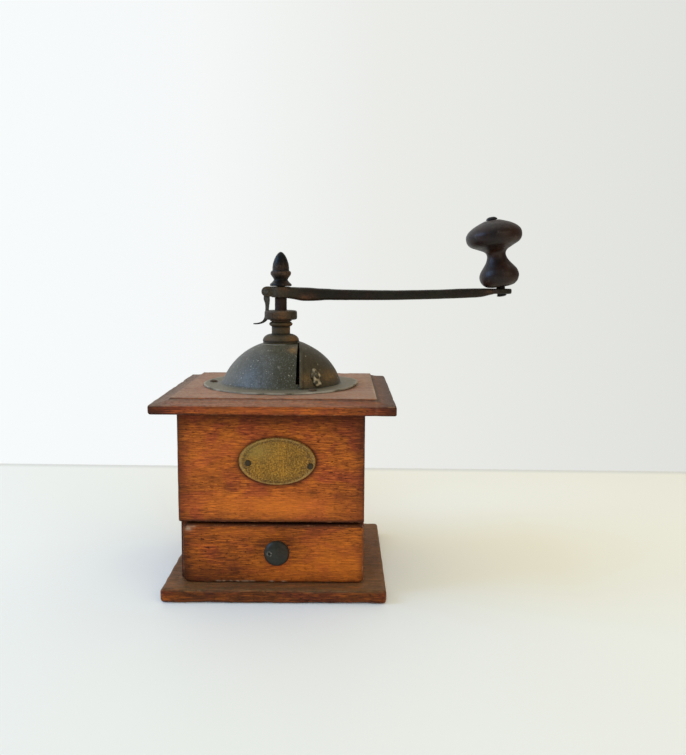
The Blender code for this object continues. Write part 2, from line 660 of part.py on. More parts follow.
def make_neck():
    """The neck sleeve that bears the spindle, and the nut that clamps it to the dome."""
    collar_arc = [(NECK_RADIUS + (COLLAR_RADIUS - NECK_RADIUS) * math.sin(a),
                   collar_bottom + COLLAR_HEIGHT * math.cos(a))
                  for a in (math.pi / 2 * i / 6 for i in range(7))]
    bead_middle = (bead_bottom + bead_top) / 2
    bead_waist = (NECK_RADIUS + BEAD_RADIUS) / 2
    shank_bottom = land_top - DOME_WALL - NECK_SHANK_LENGTH
    profile = [
        (spindle_bore, bead_top), (bead_waist, bead_top), (BEAD_RADIUS, bead_middle + BEAD_HEIGHT / 5),
        (BEAD_RADIUS, bead_middle - BEAD_HEIGHT / 5), (bead_waist, bead_bottom),
        (NECK_RADIUS, bead_bottom - BEAD_HEIGHT / 8), *collar_arc,
        (NECK_HUB_RADIUS, collar_bottom), (NECK_HUB_RADIUS, land_top + JOINT_GAP),
        (NECK_SHANK_RADIUS, land_top + JOINT_GAP), (NECK_SHANK_RADIUS, shank_bottom),
        (spindle_bore, shank_bottom),
    ]
    turned("neck_sleeve", profile, RUSTY_IRON, closed=True)
    nut_level = land_top - DOME_WALL - JOINT_GAP
    hexagon = arc((0, 0), LOCK_NUT_RADIUS, 0, math.tau * 5 / 6, 5)
    mesh = outline_mesh("neck_lock_nut", hexagon, LOCK_NUT_HEIGHT)
    mesh.transform(Matrix.Translation((0, 0, nut_level - LOCK_NUT_HEIGHT / 2)))
    nut = add("neck_lock_nut", mesh, STEEL)
    combine(nut, cylinder("lock_nut_bore", NECK_SHANK_RADIUS + JOINT_GAP,
                          nut_level - LOCK_NUT_HEIGHT - OVERRUN, nut_level + OVERRUN))


def make_door():
    """The door: a segment of an outer shell on a ring about the neck, with its thumb tab."""
    axis = pivot("hopper_door_axis", turn=(0, 0, DOOR_AJAR))
    radius = DOME_RADIUS + RUNNING_GAP
    foot = flange_top + DOOR_FOOT_GAP
    slope_start = math.asin((door_under - dome_centre) / radius)
    slope_end = math.asin((foot - dome_centre) / radius)
    profile = [(NECK_HUB_RADIUS + RUNNING_GAP, door_under)]
    profile += arc((0, dome_centre), radius, slope_start, slope_end, DOME_ARC_STEPS)
    door = turned("hopper_door", profile, BROWN_SHEET, axis, steps=DOME_STEPS)
    wall = door.modifiers.new("Sheet", "SOLIDIFY")
    wall.thickness = DOOR_WALL
    wall.offset = 1
    wall.use_even_offset = True
    reach = radius + DOOR_WALL + OVERRUN
    top = collar_bottom + OVERRUN
    keep = block("door_keep", (COLLAR_RADIUS, -reach, foot - OVERRUN), (reach, reach, top), parent=axis)
    ring = cylinder("door_ring_keep", land_radius, door_under - OVERRUN, top, parent=axis)
    tongue = block("door_tongue_keep", (NECK_HUB_RADIUS, -DOOR_TONGUE_WIDTH / 2, door_under - OVERRUN),
                   (COLLAR_RADIUS + OVERRUN, DOOR_TONGUE_WIDTH / 2, top), parent=axis)
    combine(keep, ring, "UNION")
    combine(keep, tongue, "UNION")
    combine(door, keep, "INTERSECT")

    level = flange_top + TAB_LEVEL - dome_centre
    slope = math.asin(level / (radius + DOOR_WALL))
    outward = Vector((math.cos(slope) * math.cos(TAB_AZIMUTH), math.cos(slope) * math.sin(TAB_AZIMUTH),
                      math.sin(slope)))
    lift = radius + DOOR_WALL + JOINT_GAP
    place = Vector((0, 0, dome_centre)) + outward * (lift + TAB_THICKNESS / 2)
    leaf = outline_mesh("door_tab", [(x * TAB_WIDTH, y * TAB_HEIGHT) for x, y in TAB_SHARES], TAB_THICKNESS)
    leaf.transform(Matrix.Translation(place) @ outward.to_track_quat("Z", "Y").to_matrix().to_4x4())
    tab = add("door_tab", leaf, BROWN_SHEET, axis)
    rivet_seat = Vector((0, 0, dome_centre)) + outward * (lift + TAB_THICKNESS + JOINT_GAP)
    length = DOOR_WALL + TAB_THICKNESS + 2 * JOINT_GAP
    rivet = (TAB_RIVET_HEAD, TAB_RIVET_HEAD_HEIGHT, TAB_RIVET_RADIUS, length)
    fasten("door_tab_rivet", rivet, [placed(rivet_seat, outward)], [door, tab], RUSTY_IRON, axis)


def make_adjustment(carrier):
    """The washer that turns with the spindle, and the notched nut that sets its height."""
    washer = [(spindle_bore, washer_bottom + WASHER_THICKNESS), (WASHER_RADIUS, washer_bottom + WASHER_THICKNESS),
              (WASHER_RADIUS, washer_bottom), (spindle_bore, washer_bottom)]
    turned("thrust_washer", washer, STEEL, carrier, closed=True)
    axis = pivot("grind_nut_axis", parent=carrier)
    rim = NUT_RADIUS - NUT_CHAMFER
    blank = [(spindle_bore, nut_top), (rim, nut_top), (NUT_RADIUS, nut_top - NUT_CHAMFER),
             (NUT_RADIUS, nut_bottom + NUT_CHAMFER), (rim, nut_bottom), (spindle_bore, nut_bottom)]
    nut = turned("grind_nut", blank, RUSTY_IRON, axis, closed=True)
    half = NOTCH_WIDTH / 2
    notch = block_mesh("notch", (NUT_RADIUS - NOTCH_DEPTH, -half, nut_bottom - OVERRUN),
                       (NUT_RADIUS + OVERRUN, half, nut_top + OVERRUN))
    turns = [Matrix.Rotation(math.pi + math.tau * i / NUT_NOTCHES, 4, "Z") for i in range(NUT_NOTCHES)]
    combine(nut, hole_group("nut_notches", notch, turns, axis))


def make_spindle(axis):
    """The spindle: lower journal, shaft, threaded length, crank square and stub for the acorn nut."""
    journal_end = bridge_top - BRIDGE_BOSS_HEIGHT - JOURNAL_RADIUS
    thread_end = hub_bottom - SPINDLE_THREAD_LENGTH
    stub_top = hub_top + SPINDLE_STUB_LENGTH
    chamfer = SPINDLE_STUB_RADIUS / 4
    profile = [
        (0, stub_top), (SPINDLE_STUB_RADIUS - chamfer, stub_top), (SPINDLE_STUB_RADIUS, stub_top - chamfer),
        (SPINDLE_STUB_RADIUS, hub_bottom), (SPINDLE_RADIUS, hub_bottom - JOINT_GAP), (SPINDLE_RADIUS, thread_end),
        (SPINDLE_SHAFT_RADIUS, thread_end - JOINT_GAP), (SPINDLE_SHAFT_RADIUS, cone_bottom),
        (JOURNAL_RADIUS, cone_bottom - JOINT_GAP), (JOURNAL_RADIUS, journal_end + chamfer),
        (JOURNAL_RADIUS - chamfer, journal_end), (0, journal_end),
    ]
    spindle = turned("spindle", profile, RUSTY_IRON, axis)
    half = SPINDLE_SQUARE / 2
    combine(spindle, block("spindle_square", (-half, -half, hub_bottom - JOINT_GAP),
                           (half, half, hub_top), parent=axis), "UNION")

    cone = toothed_cone("grinding_cone", CONE_BOTTOM_RADIUS, CONE_TOP_RADIUS, cone_bottom, cone_top,
                        TOOTH_DEPTH, CAST_IRON, axis)
    bore = SPINDLE_SHAFT_RADIUS + JOINT_GAP
    combine(cone, cylinder("cone_bore", bore, cone_bottom - OVERRUN, cone_top + OVERRUN, parent=axis))
    half_pin = CONE_PIN_LENGTH / 2
    across = placed((0, 0, (cone_bottom + cone_top) / 2), (0, 1, 0))
    pin = cylinder("cone_pin", CONE_PIN_RADIUS, -half_pin, half_pin, STEEL, axis, SMALL_STEPS)
    pin.matrix_local = across
    reach = CONE_BOTTOM_RADIUS + OVERRUN
    pin_hole = cylinder("cone_pin_hole", CONE_PIN_RADIUS + JOINT_GAP, -reach, reach, parent=axis, steps=SMALL_STEPS)
    pin_hole.matrix_local = across
    combine(cone, pin_hole)
    combine(spindle, pin_hole)


def arm_mesh():
    """The arm as a loft through its stations, from the hub's middle to the eye."""
    solid = bmesh.new()
    rings = []
    corners = 12
    for reach, drop, thickness, width in ARM_SHARES:
        top = hub_top - drop * ARM_THICKNESS
        half_height = thickness * ARM_THICKNESS / 2
        half_width = width * ARM_WIDTH / 2
        ring = []
        for i in range(corners):
            angle = math.tau * (i + 0.5) / corners
            side, up = math.cos(angle), math.sin(angle)
            place = (reach * CRANK_RADIUS,
                     half_width * math.copysign(abs(side) ** ARM_ROUNDNESS_SHARE, side),
                     top - half_height + half_height * math.copysign(abs(up) ** ARM_ROUNDNESS_SHARE, up))
            ring.append(solid.verts.new(place))
        rings.append(ring)
    for ring, following in zip(rings, rings[1:]):
        for i in range(corners):
            j = (i + 1) % corners
            solid.faces.new((ring[i], ring[j], following[j], following[i]))
    solid.faces.new(rings[0])
    solid.faces.new(rings[-1])
    bmesh.ops.recalc_face_normals(solid, faces=solid.faces)
    mesh = bpy.data.meshes.new("crank_arm")
    solid.to_mesh(mesh)
    solid.free()
    return mesh


def make_crank(axis):
    """The crank: hub with a fork for the pawl, lofted arm and eye, in one forging; and its nut."""
    crank = add("crank_arm", arm_mesh(), BLACK_IRON, axis)
    combine(crank, cylinder("crank_hub", HUB_RADIUS, hub_bottom, hub_top, parent=axis), "UNION")
    eye = cylinder("crank_eye", EYE_RADIUS, eye_top - EYE_THICKNESS, eye_top, parent=axis)
    eye.location.x = CRANK_RADIUS
    combine(crank, eye, "UNION")

    thickness = PAWL_THICKNESS + 2 * RUNNING_GAP + 2 * FORK_CHEEK
    fork = arc((-PAWL_OFFSET, pawl_pivot.z), FORK_END_RADIUS, math.pi / 2, 3 * math.pi / 2, 8)
    fork += [(0, pawl_pivot.z - FORK_END_RADIUS), (0, pawl_pivot.z + FORK_END_RADIUS)]
    lug = add("crank_fork", upright(outline_mesh("crank_fork", fork, thickness)), parent=axis)
    combine(crank, lug, "UNION")
    slot = PAWL_THICKNESS / 2 + RUNNING_GAP
    slot_end = PAWL_HEAD_RADIUS + RUNNING_GAP - PAWL_OFFSET
    combine(crank, block("fork_slot", (-PAWL_OFFSET - FORK_END_RADIUS - OVERRUN, -slot, hub_bottom - OVERRUN),
                         (slot_end, slot, hub_top + OVERRUN), parent=axis))

    half = SPINDLE_SQUARE / 2 + JOINT_GAP
    combine(crank, block("crank_square_hole", (-half, -half, hub_bottom - OVERRUN),
                         (half, half, hub_top + OVERRUN), parent=axis))
    combine(crank, cylinder("crank_thread_clearance", spindle_bore, hub_bottom - OVERRUN, hub_bottom,
                            parent=axis))

    acorn_bottom = hub_top + JOINT_GAP
    radii = {"foot": ACORN_FOOT_RADIUS, "neck": ACORN_NECK_RADIUS, "cup": ACORN_CUP_RADIUS,
             "acorn": ACORN_RADIUS}
    outer = [(radii[zone] * share, acorn_bottom + height * ACORN_HEIGHT)
             for height, zone, share in reversed(ACORN_SHARES)]
    bore = SPINDLE_STUB_RADIUS + JOINT_GAP
    bore_top = hub_top + SPINDLE_STUB_LENGTH + JOINT_GAP
    profile = [(0, acorn_bottom + ACORN_HEIGHT), *outer, (bore, acorn_bottom), (bore, bore_top), (0, bore_top)]
    turned("acorn_nut", profile, RUSTY_IRON, axis, steps=TURN_STEPS)
    return crank


def make_knob(axis, crank):
    """The turned knob on its pin; the pin leans back over the arm."""
    pin_axis = pivot("knob_axis", knob_seat, (0, -KNOB_TILT, 0), axis)
    bore = KNOB_PIN_RADIUS + RUNNING_GAP
    outer = [(KNOB_BULB_RADIUS * radius, KNOB_HEIGHT * height) for height, radius in reversed(KNOB_SHARES)]
    profile = [(bore, KNOB_HEIGHT), *outer, (bore, 0)]
    turned("knob_grip", profile, KNOB_WOOD, pin_axis, closed=True)

    lean = math.tan(KNOB_TILT)
    rivet_top = -(KNOB_SEAT_GAP + EYE_THICKNESS + JOINT_GAP) / math.cos(KNOB_TILT) - PIN_RIVET_RADIUS * lean
    button = KNOB_HEIGHT + RUNNING_GAP
    profile = [
        (0, button + KNOB_BUTTON_HEIGHT), (KNOB_BUTTON_RADIUS * HEAD_CROWN_SHARE, button + KNOB_BUTTON_HEIGHT),
        (KNOB_BUTTON_RADIUS, button + KNOB_BUTTON_HEIGHT / 2), (KNOB_BUTTON_RADIUS, button),
        (KNOB_PIN_RADIUS, button), (KNOB_PIN_RADIUS, rivet_top), (PIN_RIVET_RADIUS, rivet_top),
        (PIN_RIVET_RADIUS * HEAD_CROWN_SHARE, rivet_top - PIN_RIVET_HEIGHT), (0, rivet_top - PIN_RIVET_HEIGHT),
    ]
    turned("knob_pin", profile, BLACK_IRON, pin_axis)
    hole = cylinder("knob_pin_hole", KNOB_PIN_RADIUS + JOINT_GAP, rivet_top - OVERRUN,
                    KNOB_SEAT_GAP + EYE_THICKNESS, parent=pin_axis)
    combine(crank, hole)


def make_pawl(axis, crank):
    """The spring lever that locks the nut to the crank, and the pin it swings on."""
    swing = pivot("pawl_axis", pawl_pivot, parent=axis)
    head = arc((0, 0), PAWL_HEAD_RADIUS, math.radians(-48), math.radians(228), 12)
    outline = head + [(x * PAWL_REACH, z * PAWL_REACH) for x, z in PAWL_SHARES]
    pawl = add("pawl_lever", upright(outline_mesh("pawl_lever", outline, PAWL_THICKNESS)), RUSTY_IRON, swing)
    half = PAWL_THICKNESS / 2 + RUNNING_GAP + FORK_CHEEK + JOINT_GAP
    profile = [
        (0, half + PAWL_PIN_HEAD_HEIGHT), (PAWL_PIN_HEAD_RADIUS, half + PAWL_PIN_HEAD_HEIGHT),
        (PAWL_PIN_HEAD_RADIUS, half), (PAWL_PIN_RADIUS, half), (PAWL_PIN_RADIUS, -half),
        (PAWL_PIN_HEAD_RADIUS, -half), (PAWL_PIN_HEAD_RADIUS, -half - PAWL_PIN_HEAD_HEIGHT),
        (0, -half - PAWL_PIN_HEAD_HEIGHT),
    ]
    across = placed(pawl_pivot, (0, 1, 0))
    pin = turned("pawl_pin", profile, STEEL, axis, SMALL_STEPS)
    pin.matrix_local = across
    reach = half + OVERRUN
    pin_hole = cylinder("pawl_pin_hole", PAWL_PIN_RADIUS + RUNNING_GAP, -reach, reach, parent=axis, steps=SMALL_STEPS)
    pin_hole.matrix_local = across
    combine(crank, pin_hole)
    combine(pawl, pin_hole)


def make_mill(board):
    """The toothed ring under the top board, and the bridge that guides the spindle's foot."""
    throat_level = ring_top - RING_THROAT_DEPTH
    slope = (CONE_BOTTOM_RADIUS - CONE_TOP_RADIUS) / CONE_HEIGHT
    exit_radius = CONE_BOTTOM_RADIUS + GRIND_GAP + slope * CONE_ABOVE_RING_END
    flange_under = ring_top - RING_FLANGE_THICKNESS
    profile = [
        (THROAT_RADIUS - RING_MOUTH_LIP, ring_top), (RING_FLANGE_RADIUS, ring_top),
        (RING_FLANGE_RADIUS, flange_under), (RING_RADIUS, flange_under), (RING_RADIUS, ring_bottom),
        (exit_radius, ring_bottom), (RING_THROAT_RADIUS, throat_level),
    ]
    ring = turned("burr_ring", profile, CAST_IRON, closed=True)
    rise = ring_bottom - OVERRUN
    steepness = (exit_radius - RING_THROAT_RADIUS) / (throat_level - ring_bottom)
    bottom_radius = exit_radius + steepness * OVERRUN + TOOTH_DEPTH / 2
    top_radius = RING_THROAT_RADIUS + TOOTH_DEPTH / 2
    combine(ring, toothed_cone("ring_teeth", bottom_radius, top_radius, rise, throat_level, TOOTH_DEPTH))

    screw_radius = (RING_RADIUS + RING_FLANGE_RADIUS) / 2
    seat = flange_under - JOINT_GAP
    places = [placed((x, y, seat), (0, 0, -1)) for x, y in ring_places(RING_SCREW_COUNT, screw_radius)]
    screw = (RING_SCREW_HEAD, RING_SCREW_HEAD_HEIGHT, RING_SCREW_RADIUS,
             RING_FLANGE_THICKNESS + RING_SCREW_BITE)
    fasten("burr_ring_screw", screw, places, [ring, board], STEEL)

    bolt_circle = exit_radius + (RING_RADIUS - exit_radius) * BRIDGE_SCREW_SHARE
    half = BRIDGE_WIDTH / 2
    bridge = block("bearing_bridge", (-RING_RADIUS, -half, bridge_top - BRIDGE_THICKNESS),
                   (RING_RADIUS, half, bridge_top), CAST_IRON)
    combine(bridge, cylinder("bridge_boss", BRIDGE_BOSS_RADIUS, bridge_top - BRIDGE_BOSS_HEIGHT,
                             bridge_top - JOINT_GAP), "UNION")
    combine(bridge, cylinder("bridge_bore", JOURNAL_RADIUS + RUNNING_GAP,
                             bridge_top - BRIDGE_BOSS_HEIGHT - OVERRUN, bridge_top + OVERRUN))
    seat = bridge_top - BRIDGE_THICKNESS - JOINT_GAP
    places = [placed((x, 0, seat), (0, 0, -1)) for x in (-bolt_circle, bolt_circle)]
    screw = (BRIDGE_SCREW_HEAD, BRIDGE_SCREW_HEAD_HEIGHT, BRIDGE_SCREW_RADIUS,
             BRIDGE_THICKNESS + BRIDGE_SCREW_BITE)
    fasten("bridge_screw", screw, places, [ring, bridge], STEEL)


def make_drawer():
    """The drawer: front, box and floor, its knob and the screw and nails that hold them."""
    slide = pivot("drawer_slide", (BODY_OFFSET, 0, 0))
    front_face = body_front - DRAWER_PROUD
    front_back = side_front - RUNNING_GAP
    floor = BASE_THICKNESS + RUNNING_GAP
    front_low = BASE_THICKNESS + 2 * RUNNING_GAP
    front_high = front_panel_bottom - DRAWER_TOP_GAP
    half = DRAWER_FRONT_WIDTH / 2
    front = block("drawer_front", (DRAWER_FRONT_OFFSET - half, front_face, front_low),
                  (DRAWER_FRONT_OFFSET + half, front_back, front_high), RED_WOOD, DRAWER_ROUND, slide)
    outer = side_inside - DRAWER_SIDE_GAP
    inner = outer - DRAWER_WALL
    wall_front = front_back + JOINT_GAP
    wall_back = -panel_back - DRAWER_BACK_GAP
    wall_top = floor + DRAWER_WALL_HEIGHT
    sides = [
        block("drawer_side_left", (-outer, wall_front, floor), (-inner, wall_back, wall_top),
              INNER_WOOD, PANEL_ROUND, slide),
        block("drawer_side_right", (inner, wall_front, floor), (outer, wall_back, wall_top),
              INNER_WOOD, PANEL_ROUND, slide),
    ]
    fill = inner - JOINT_GAP
    back = block("drawer_back", (-fill, wall_back - DRAWER_WALL, floor), (fill, wall_back, wall_top),
                 INNER_WOOD, PANEL_ROUND, slide)
    block("drawer_bottom", (-fill, wall_front, floor),
          (fill, wall_back - DRAWER_WALL - JOINT_GAP, floor + DRAWER_FLOOR), INNER_WOOD, parent=slide)
    nail = (NAIL_HEAD_RADIUS, NAIL_HEAD_HEIGHT, NAIL_RADIUS, NAIL_LENGTH)
    places = [placed((sign * (outer - NAIL_HEAD_HEIGHT), wall_back - DRAWER_WALL / 2,
                      floor + share * DRAWER_WALL_HEIGHT), (sign, 0, 0))
              for sign in (-1, 1) for share in DRAWER_NAIL_SHARES]
    fasten("drawer_nail", nail, places, [back, *sides], RUSTY_IRON, slide)

    knob_level = (front_low + front_high) / 2 + DRAWER_KNOB_RISE
    reach = DRAWER_KNOB_REACH
    outline = [(DRAWER_KNOB_RADIUS * radius, reach * share) for share, radius in DRAWER_KNOB_SHARES]
    screw_end = DRAWER_SCREW_DEPTH
    bore = DRAWER_SCREW_RADIUS + JOINT_GAP
    profile = [(0, reach), *outline, (DRAWER_KNOB_STEM, reach * DRAWER_KNOB_SHARES[-1][0] * HEAD_CROWN_SHARE),
               (DRAWER_KNOB_STEM, 0), (bore, 0), (bore, screw_end + JOINT_GAP), (0, screw_end + JOINT_GAP)]
    knob = turned("drawer_knob", profile, BLACK_IRON, slide)
    knob.matrix_local = placed((DRAWER_KNOB_OFFSET, front_face - JOINT_GAP, knob_level), (0, -1, 0))
    seat = front_back + JOINT_GAP
    length = seat - front_face + JOINT_GAP + screw_end
    screw = (DRAWER_SCREW_HEAD, NAIL_HEAD_HEIGHT * 2, DRAWER_SCREW_RADIUS, length)
    fasten("drawer_knob_screw", screw, [placed((DRAWER_KNOB_OFFSET, seat, knob_level), (0, 1, 0))], [front],
           STEEL, slide)


def make_grinder():
    """The whole grinder, from the base up."""
    body, front = make_box()
    board = make_top_board()
    make_name_plate(body, front)
    make_mill(board)
    make_dome(board)
    make_neck()
    make_door()
    carrier = pivot("crank_axis")
    make_adjustment(carrier)
    spindle_axis = pivot("spindle_axis", parent=carrier)
    make_spindle(spindle_axis)
    crank = make_crank(spindle_axis)
    make_knob(spindle_axis, crank)
    make_pawl(spindle_axis, crank)
    make_drawer()


make_grinder()
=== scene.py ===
import math

import bmesh
import bpy
from mathutils import Matrix, Vector, noise


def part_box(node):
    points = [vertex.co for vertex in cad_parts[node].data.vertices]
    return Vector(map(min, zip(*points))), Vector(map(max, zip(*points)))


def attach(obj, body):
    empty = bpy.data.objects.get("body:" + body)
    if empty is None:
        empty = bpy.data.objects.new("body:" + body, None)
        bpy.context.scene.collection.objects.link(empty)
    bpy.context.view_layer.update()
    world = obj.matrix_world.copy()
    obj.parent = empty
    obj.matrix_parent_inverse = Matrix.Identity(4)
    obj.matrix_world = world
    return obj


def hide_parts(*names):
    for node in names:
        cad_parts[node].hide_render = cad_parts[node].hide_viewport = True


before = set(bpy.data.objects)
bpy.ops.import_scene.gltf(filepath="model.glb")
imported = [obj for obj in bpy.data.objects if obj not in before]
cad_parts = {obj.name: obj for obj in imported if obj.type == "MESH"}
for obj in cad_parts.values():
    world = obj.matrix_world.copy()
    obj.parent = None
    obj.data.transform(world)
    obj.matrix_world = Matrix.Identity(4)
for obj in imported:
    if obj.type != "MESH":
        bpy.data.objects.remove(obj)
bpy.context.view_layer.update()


# The camera stands a little above and to the right of the crank's axis and looks slightly down.
# Metres, +Z up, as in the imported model.
sight = bpy.data.cameras.new("sight")
sight.lens = 39.6
sight.sensor_width = 36.0
yaw, pitch, roll = (math.radians(angle) for angle in (-0.10, -7.36, -0.42))
lean = Matrix(((math.cos(roll), 0, math.sin(roll)), (0, 1, 0), (-math.sin(roll), 0, math.cos(roll))))
aim = Matrix.Rotation(yaw, 3, "Z") @ Matrix.Rotation(pitch, 3, "X") @ lean
turn = Matrix((aim.col[0], aim.col[2], -aim.col[1])).transposed()
camera = bpy.data.objects.new("camera", sight)
camera.matrix_world = Matrix.Translation((0.0433, -0.5892, 0.2150)) @ turn.to_4x4()
bpy.context.scene.collection.objects.link(camera)
bpy.context.scene.camera = camera
bpy.context.scene.view_settings.view_transform = "Standard"


# The surface it stands on: a pale painted shelf whose back edge shows as a faint line of painted shade, with painted
# light that makes it bluer at the left and painted shade that darkens it towards the viewer, in front of a pale wall
# that is only the world's colour, made a little greyer towards the right by painted shade.
def step(tree, kind, feeds=None, **settings):
    """One node of a finish; settings are its options, and feeds fill its sockets."""
    made = tree.nodes.new("ShaderNode" + kind)
    for option, value in settings.items():
        setattr(made, option, value)
    for socket, value in (feeds or {}).items():
        if isinstance(value, bpy.types.NodeSocket):
            tree.links.new(value, made.inputs[socket])
        elif made.inputs[socket].type == "RGBA":
            made.inputs[socket].default_value = (*value[:3], 1)
        else:
            made.inputs[socket].default_value = value
    return made


def ramp(tree, share, *stops):
    """Colours along a share, from (place, colour) stops."""
    made = step(tree, "ValToRGB", {"Fac": share})
    band = made.color_ramp
    while len(band.elements) < len(stops):
        band.elements.new(0.5)
    for element, (place, colour) in zip(band.elements, stops):
        element.position = place
        element.color = (*colour, 1)
    return made.outputs["Color"]


def grade(tree, value, low, high, start=0.0, end=1.0):
    """A value's range carried over to another, held at both ends."""
    return step(tree, "MapRange", {0: value, 1: low, 2: high, 3: start, 4: end}).outputs[0]


shelf = bpy.data.meshes.new("shelf")
shelf.from_pydata([(-1.6, -1.6, 0), (1.6, -1.6, 0), (1.6, 0.272, 0), (-1.6, 0.338, 0)], [], [(0, 1, 2, 3)])
shelf.transform(Matrix.Translation((0, 0, -0.0002)))
paint = bpy.data.materials.new("shelf_paint")
paint.use_nodes = True
tree = paint.node_tree
spot = step(tree, "TexCoord").outputs["Object"]
across, along, _ = step(tree, "SeparateXYZ", {0: spot}).outputs
# painted light: the shelf is bluer at the left, under the cool window, and warmer to the right
floor_colour_and_light = ramp(tree, grade(tree, across, -0.40, 0.50), (0.0, (0.80, 0.84, 0.90)), (0.45, (0.80, 0.82, 0.83)),
            (1.0, (0.79, 0.80, 0.80)))
# painted shade: a darker line along the shelf's back edge, in the crease against the wall
back = step(tree, "Math", {0: across, 1: 0.0206, 2: along}, operation="MULTIPLY_ADD").outputs[0]
back_crease_shade = grade(tree, back, 0.289, 0.299)
floor_colour_and_light = step(tree, "Mix", {0: back_crease_shade, 6: floor_colour_and_light, 7: (0.66, 0.68, 0.72)}, data_type="RGBA").outputs[2]
# painted shade: the shelf is darker towards the viewer
painted_shade_near = grade(tree, along, -0.34, 0.05, 0.90, 1.0)
floor_colour_and_light = step(tree, "Mix",
            {0: 1.0, 6: floor_colour_and_light, 7: step(tree, "CombineColor", {0: painted_shade_near, 1: painted_shade_near, 2: painted_shade_near}).outputs[0]},
            data_type="RGBA", blend_type="MULTIPLY").outputs[2]
shader = tree.nodes["Principled BSDF"]
tree.links.new(floor_colour_and_light, shader.inputs["Base Color"])
shader.inputs["Roughness"].default_value = 0.55
shader.inputs["Specular IOR Level"].default_value = 0.25
shelf.materials.append(paint)
ground = bpy.data.objects.new("shelf", shelf)
bpy.context.scene.collection.objects.link(ground)

room = bpy.data.worlds.new("room")
room.use_nodes = True
tree = room.node_tree
fill = tree.nodes["Background"]
fill.inputs["Color"].default_value = (1.0, 0.86, 0.52, 1)
fill.inputs["Strength"].default_value = 0.92
heading = step(tree, "TexCoord").outputs["Generated"]
sideways, _, upwards = step(tree, "SeparateXYZ", {0: heading}).outputs
# painted shade: the wall seen behind goes greyer towards the right, away from the window
wall = ramp(tree, grade(tree, sideways, -0.42, 0.42), (0.0, (0.94, 0.97, 0.98)), (0.30, (0.92, 0.94, 0.94)),
            (0.55, (0.83, 0.84, 0.81)), (1.0, (0.74, 0.75, 0.72)))
seen = step(tree, "Background", {"Color": wall, "Strength": 1.0})
heading_y = step(tree, "SeparateXYZ", {0: heading}).outputs[1]
dim = grade(tree, heading_y, 0.15, -0.55, 1.0, 0.30)
rays = step(tree, "LightPath").outputs
dim = step(tree, "Math", {0: dim, 1: grade(tree, sideways, 0.05, 0.75, 1.0, 0.30)},
           operation="MULTIPLY").outputs[0]
mirrored = step(tree, "Mix", {0: rays["Is Glossy Ray"], 2: 1.0, 3: dim}, data_type="FLOAT").outputs[0]
tree.links.new(mirrored, seen.inputs["Strength"])
shows = step(tree, "Math", {0: rays["Is Camera Ray"], 1: rays["Is Glossy Ray"]},
             operation="MAXIMUM").outputs[0]
shows = step(tree, "Math", {0: shows, 1: rays["Is Transmission Ray"]}, operation="MAXIMUM").outputs[0]
both = step(tree, "MixShader", {0: shows, 1: fill.outputs[0], 2: seen.outputs[0]})
tree.links.new(both.outputs[0], tree.nodes["World Output"].inputs["Surface"])
bpy.context.scene.world = room


# The light: a broad cool window high on the left, a weaker soft light from the viewer's side that
# leaves no highlights, and a faint warm lamp on the right.
def lamp(name, place, size, power, colour, mirrored=True):
    """A square soft light that faces the mill."""
    light = bpy.data.lights.new(name, "AREA")
    light.size = size
    light.energy = power
    light.color = colour
    holder = bpy.data.objects.new(name, light)
    facing = (Vector((0.01, 0, 0.10)) - Vector(place)).to_track_quat("-Z", "Y")
    holder.matrix_world = Matrix.Translation(place) @ facing.to_matrix().to_4x4()
    holder.visible_glossy = mirrored
    bpy.context.scene.collection.objects.link(holder)


lamp("window", (-1.97, -0.30, 1.38), 1.25, 30, (0.26, 0.52, 1.0))
lamp("front_light", (0.05, -1.95, 1.25), 1.3, 24, (0.30, 0.60, 1.0), False)
lamp("warm_lamp", (1.0, -1.1, 0.7), 0.9, 4, (1.0, 0.84, 0.62))


# The base: one square board with rounded arrises, stained red-brown and browned by age, which the
# box stands on. Its grain runs from side to side, and its top has gone grey with dust.
def calc(tree, way, first, second=0.0, third=0.0):
    """Arithmetic in a finish."""
    return step(tree, "Math", {0: first, 1: second, 2: third}, operation=way).outputs[0]


def spread(tree, scale=(1, 1, 1), shift=(0, 0, 0)):
    """Object coordinates, stretched and shifted."""
    spot = step(tree, "TexCoord").outputs["Object"]
    return step(tree, "Mapping", {"Vector": spot, "Scale": scale, "Location": shift}).outputs[0]


def mottle(tree, spot, scale, detail=4.0, roughness=0.55, warp=0.0):
    """Soft irregular spots, from 0 to 1."""
    feeds = {"Vector": spot, "Scale": scale, "Detail": detail, "Roughness": roughness, "Distortion": warp}
    return step(tree, "TexNoise", feeds).outputs["Fac"]


def lay(tree, share, under, over, way="MIX"):
    """One colour laid over another."""
    return step(tree, "Mix", {0: share, 6: under, 7: over}, data_type="RGBA", blend_type=way).outputs[2]


def painted(tree, name):
    """A value stored in a piece's points."""
    return step(tree, "Attribute", attribute_name=name).outputs["Fac"]


def relief(tree, height, depth, strength=1.0, under=None):
    """Bump of a real depth in metres."""
    feeds = {"Height": height, "Distance": depth, "Strength": strength}
    if under:
        feeds["Normal"] = under
    return step(tree, "Bump", feeds).outputs[0]


def new_finish(name):
    """An empty material, its nodes and its shader."""
    finish = bpy.data.materials.new(name)
    finish.use_nodes = True
    return finish, finish.node_tree, finish.node_tree.nodes["Principled BSDF"]


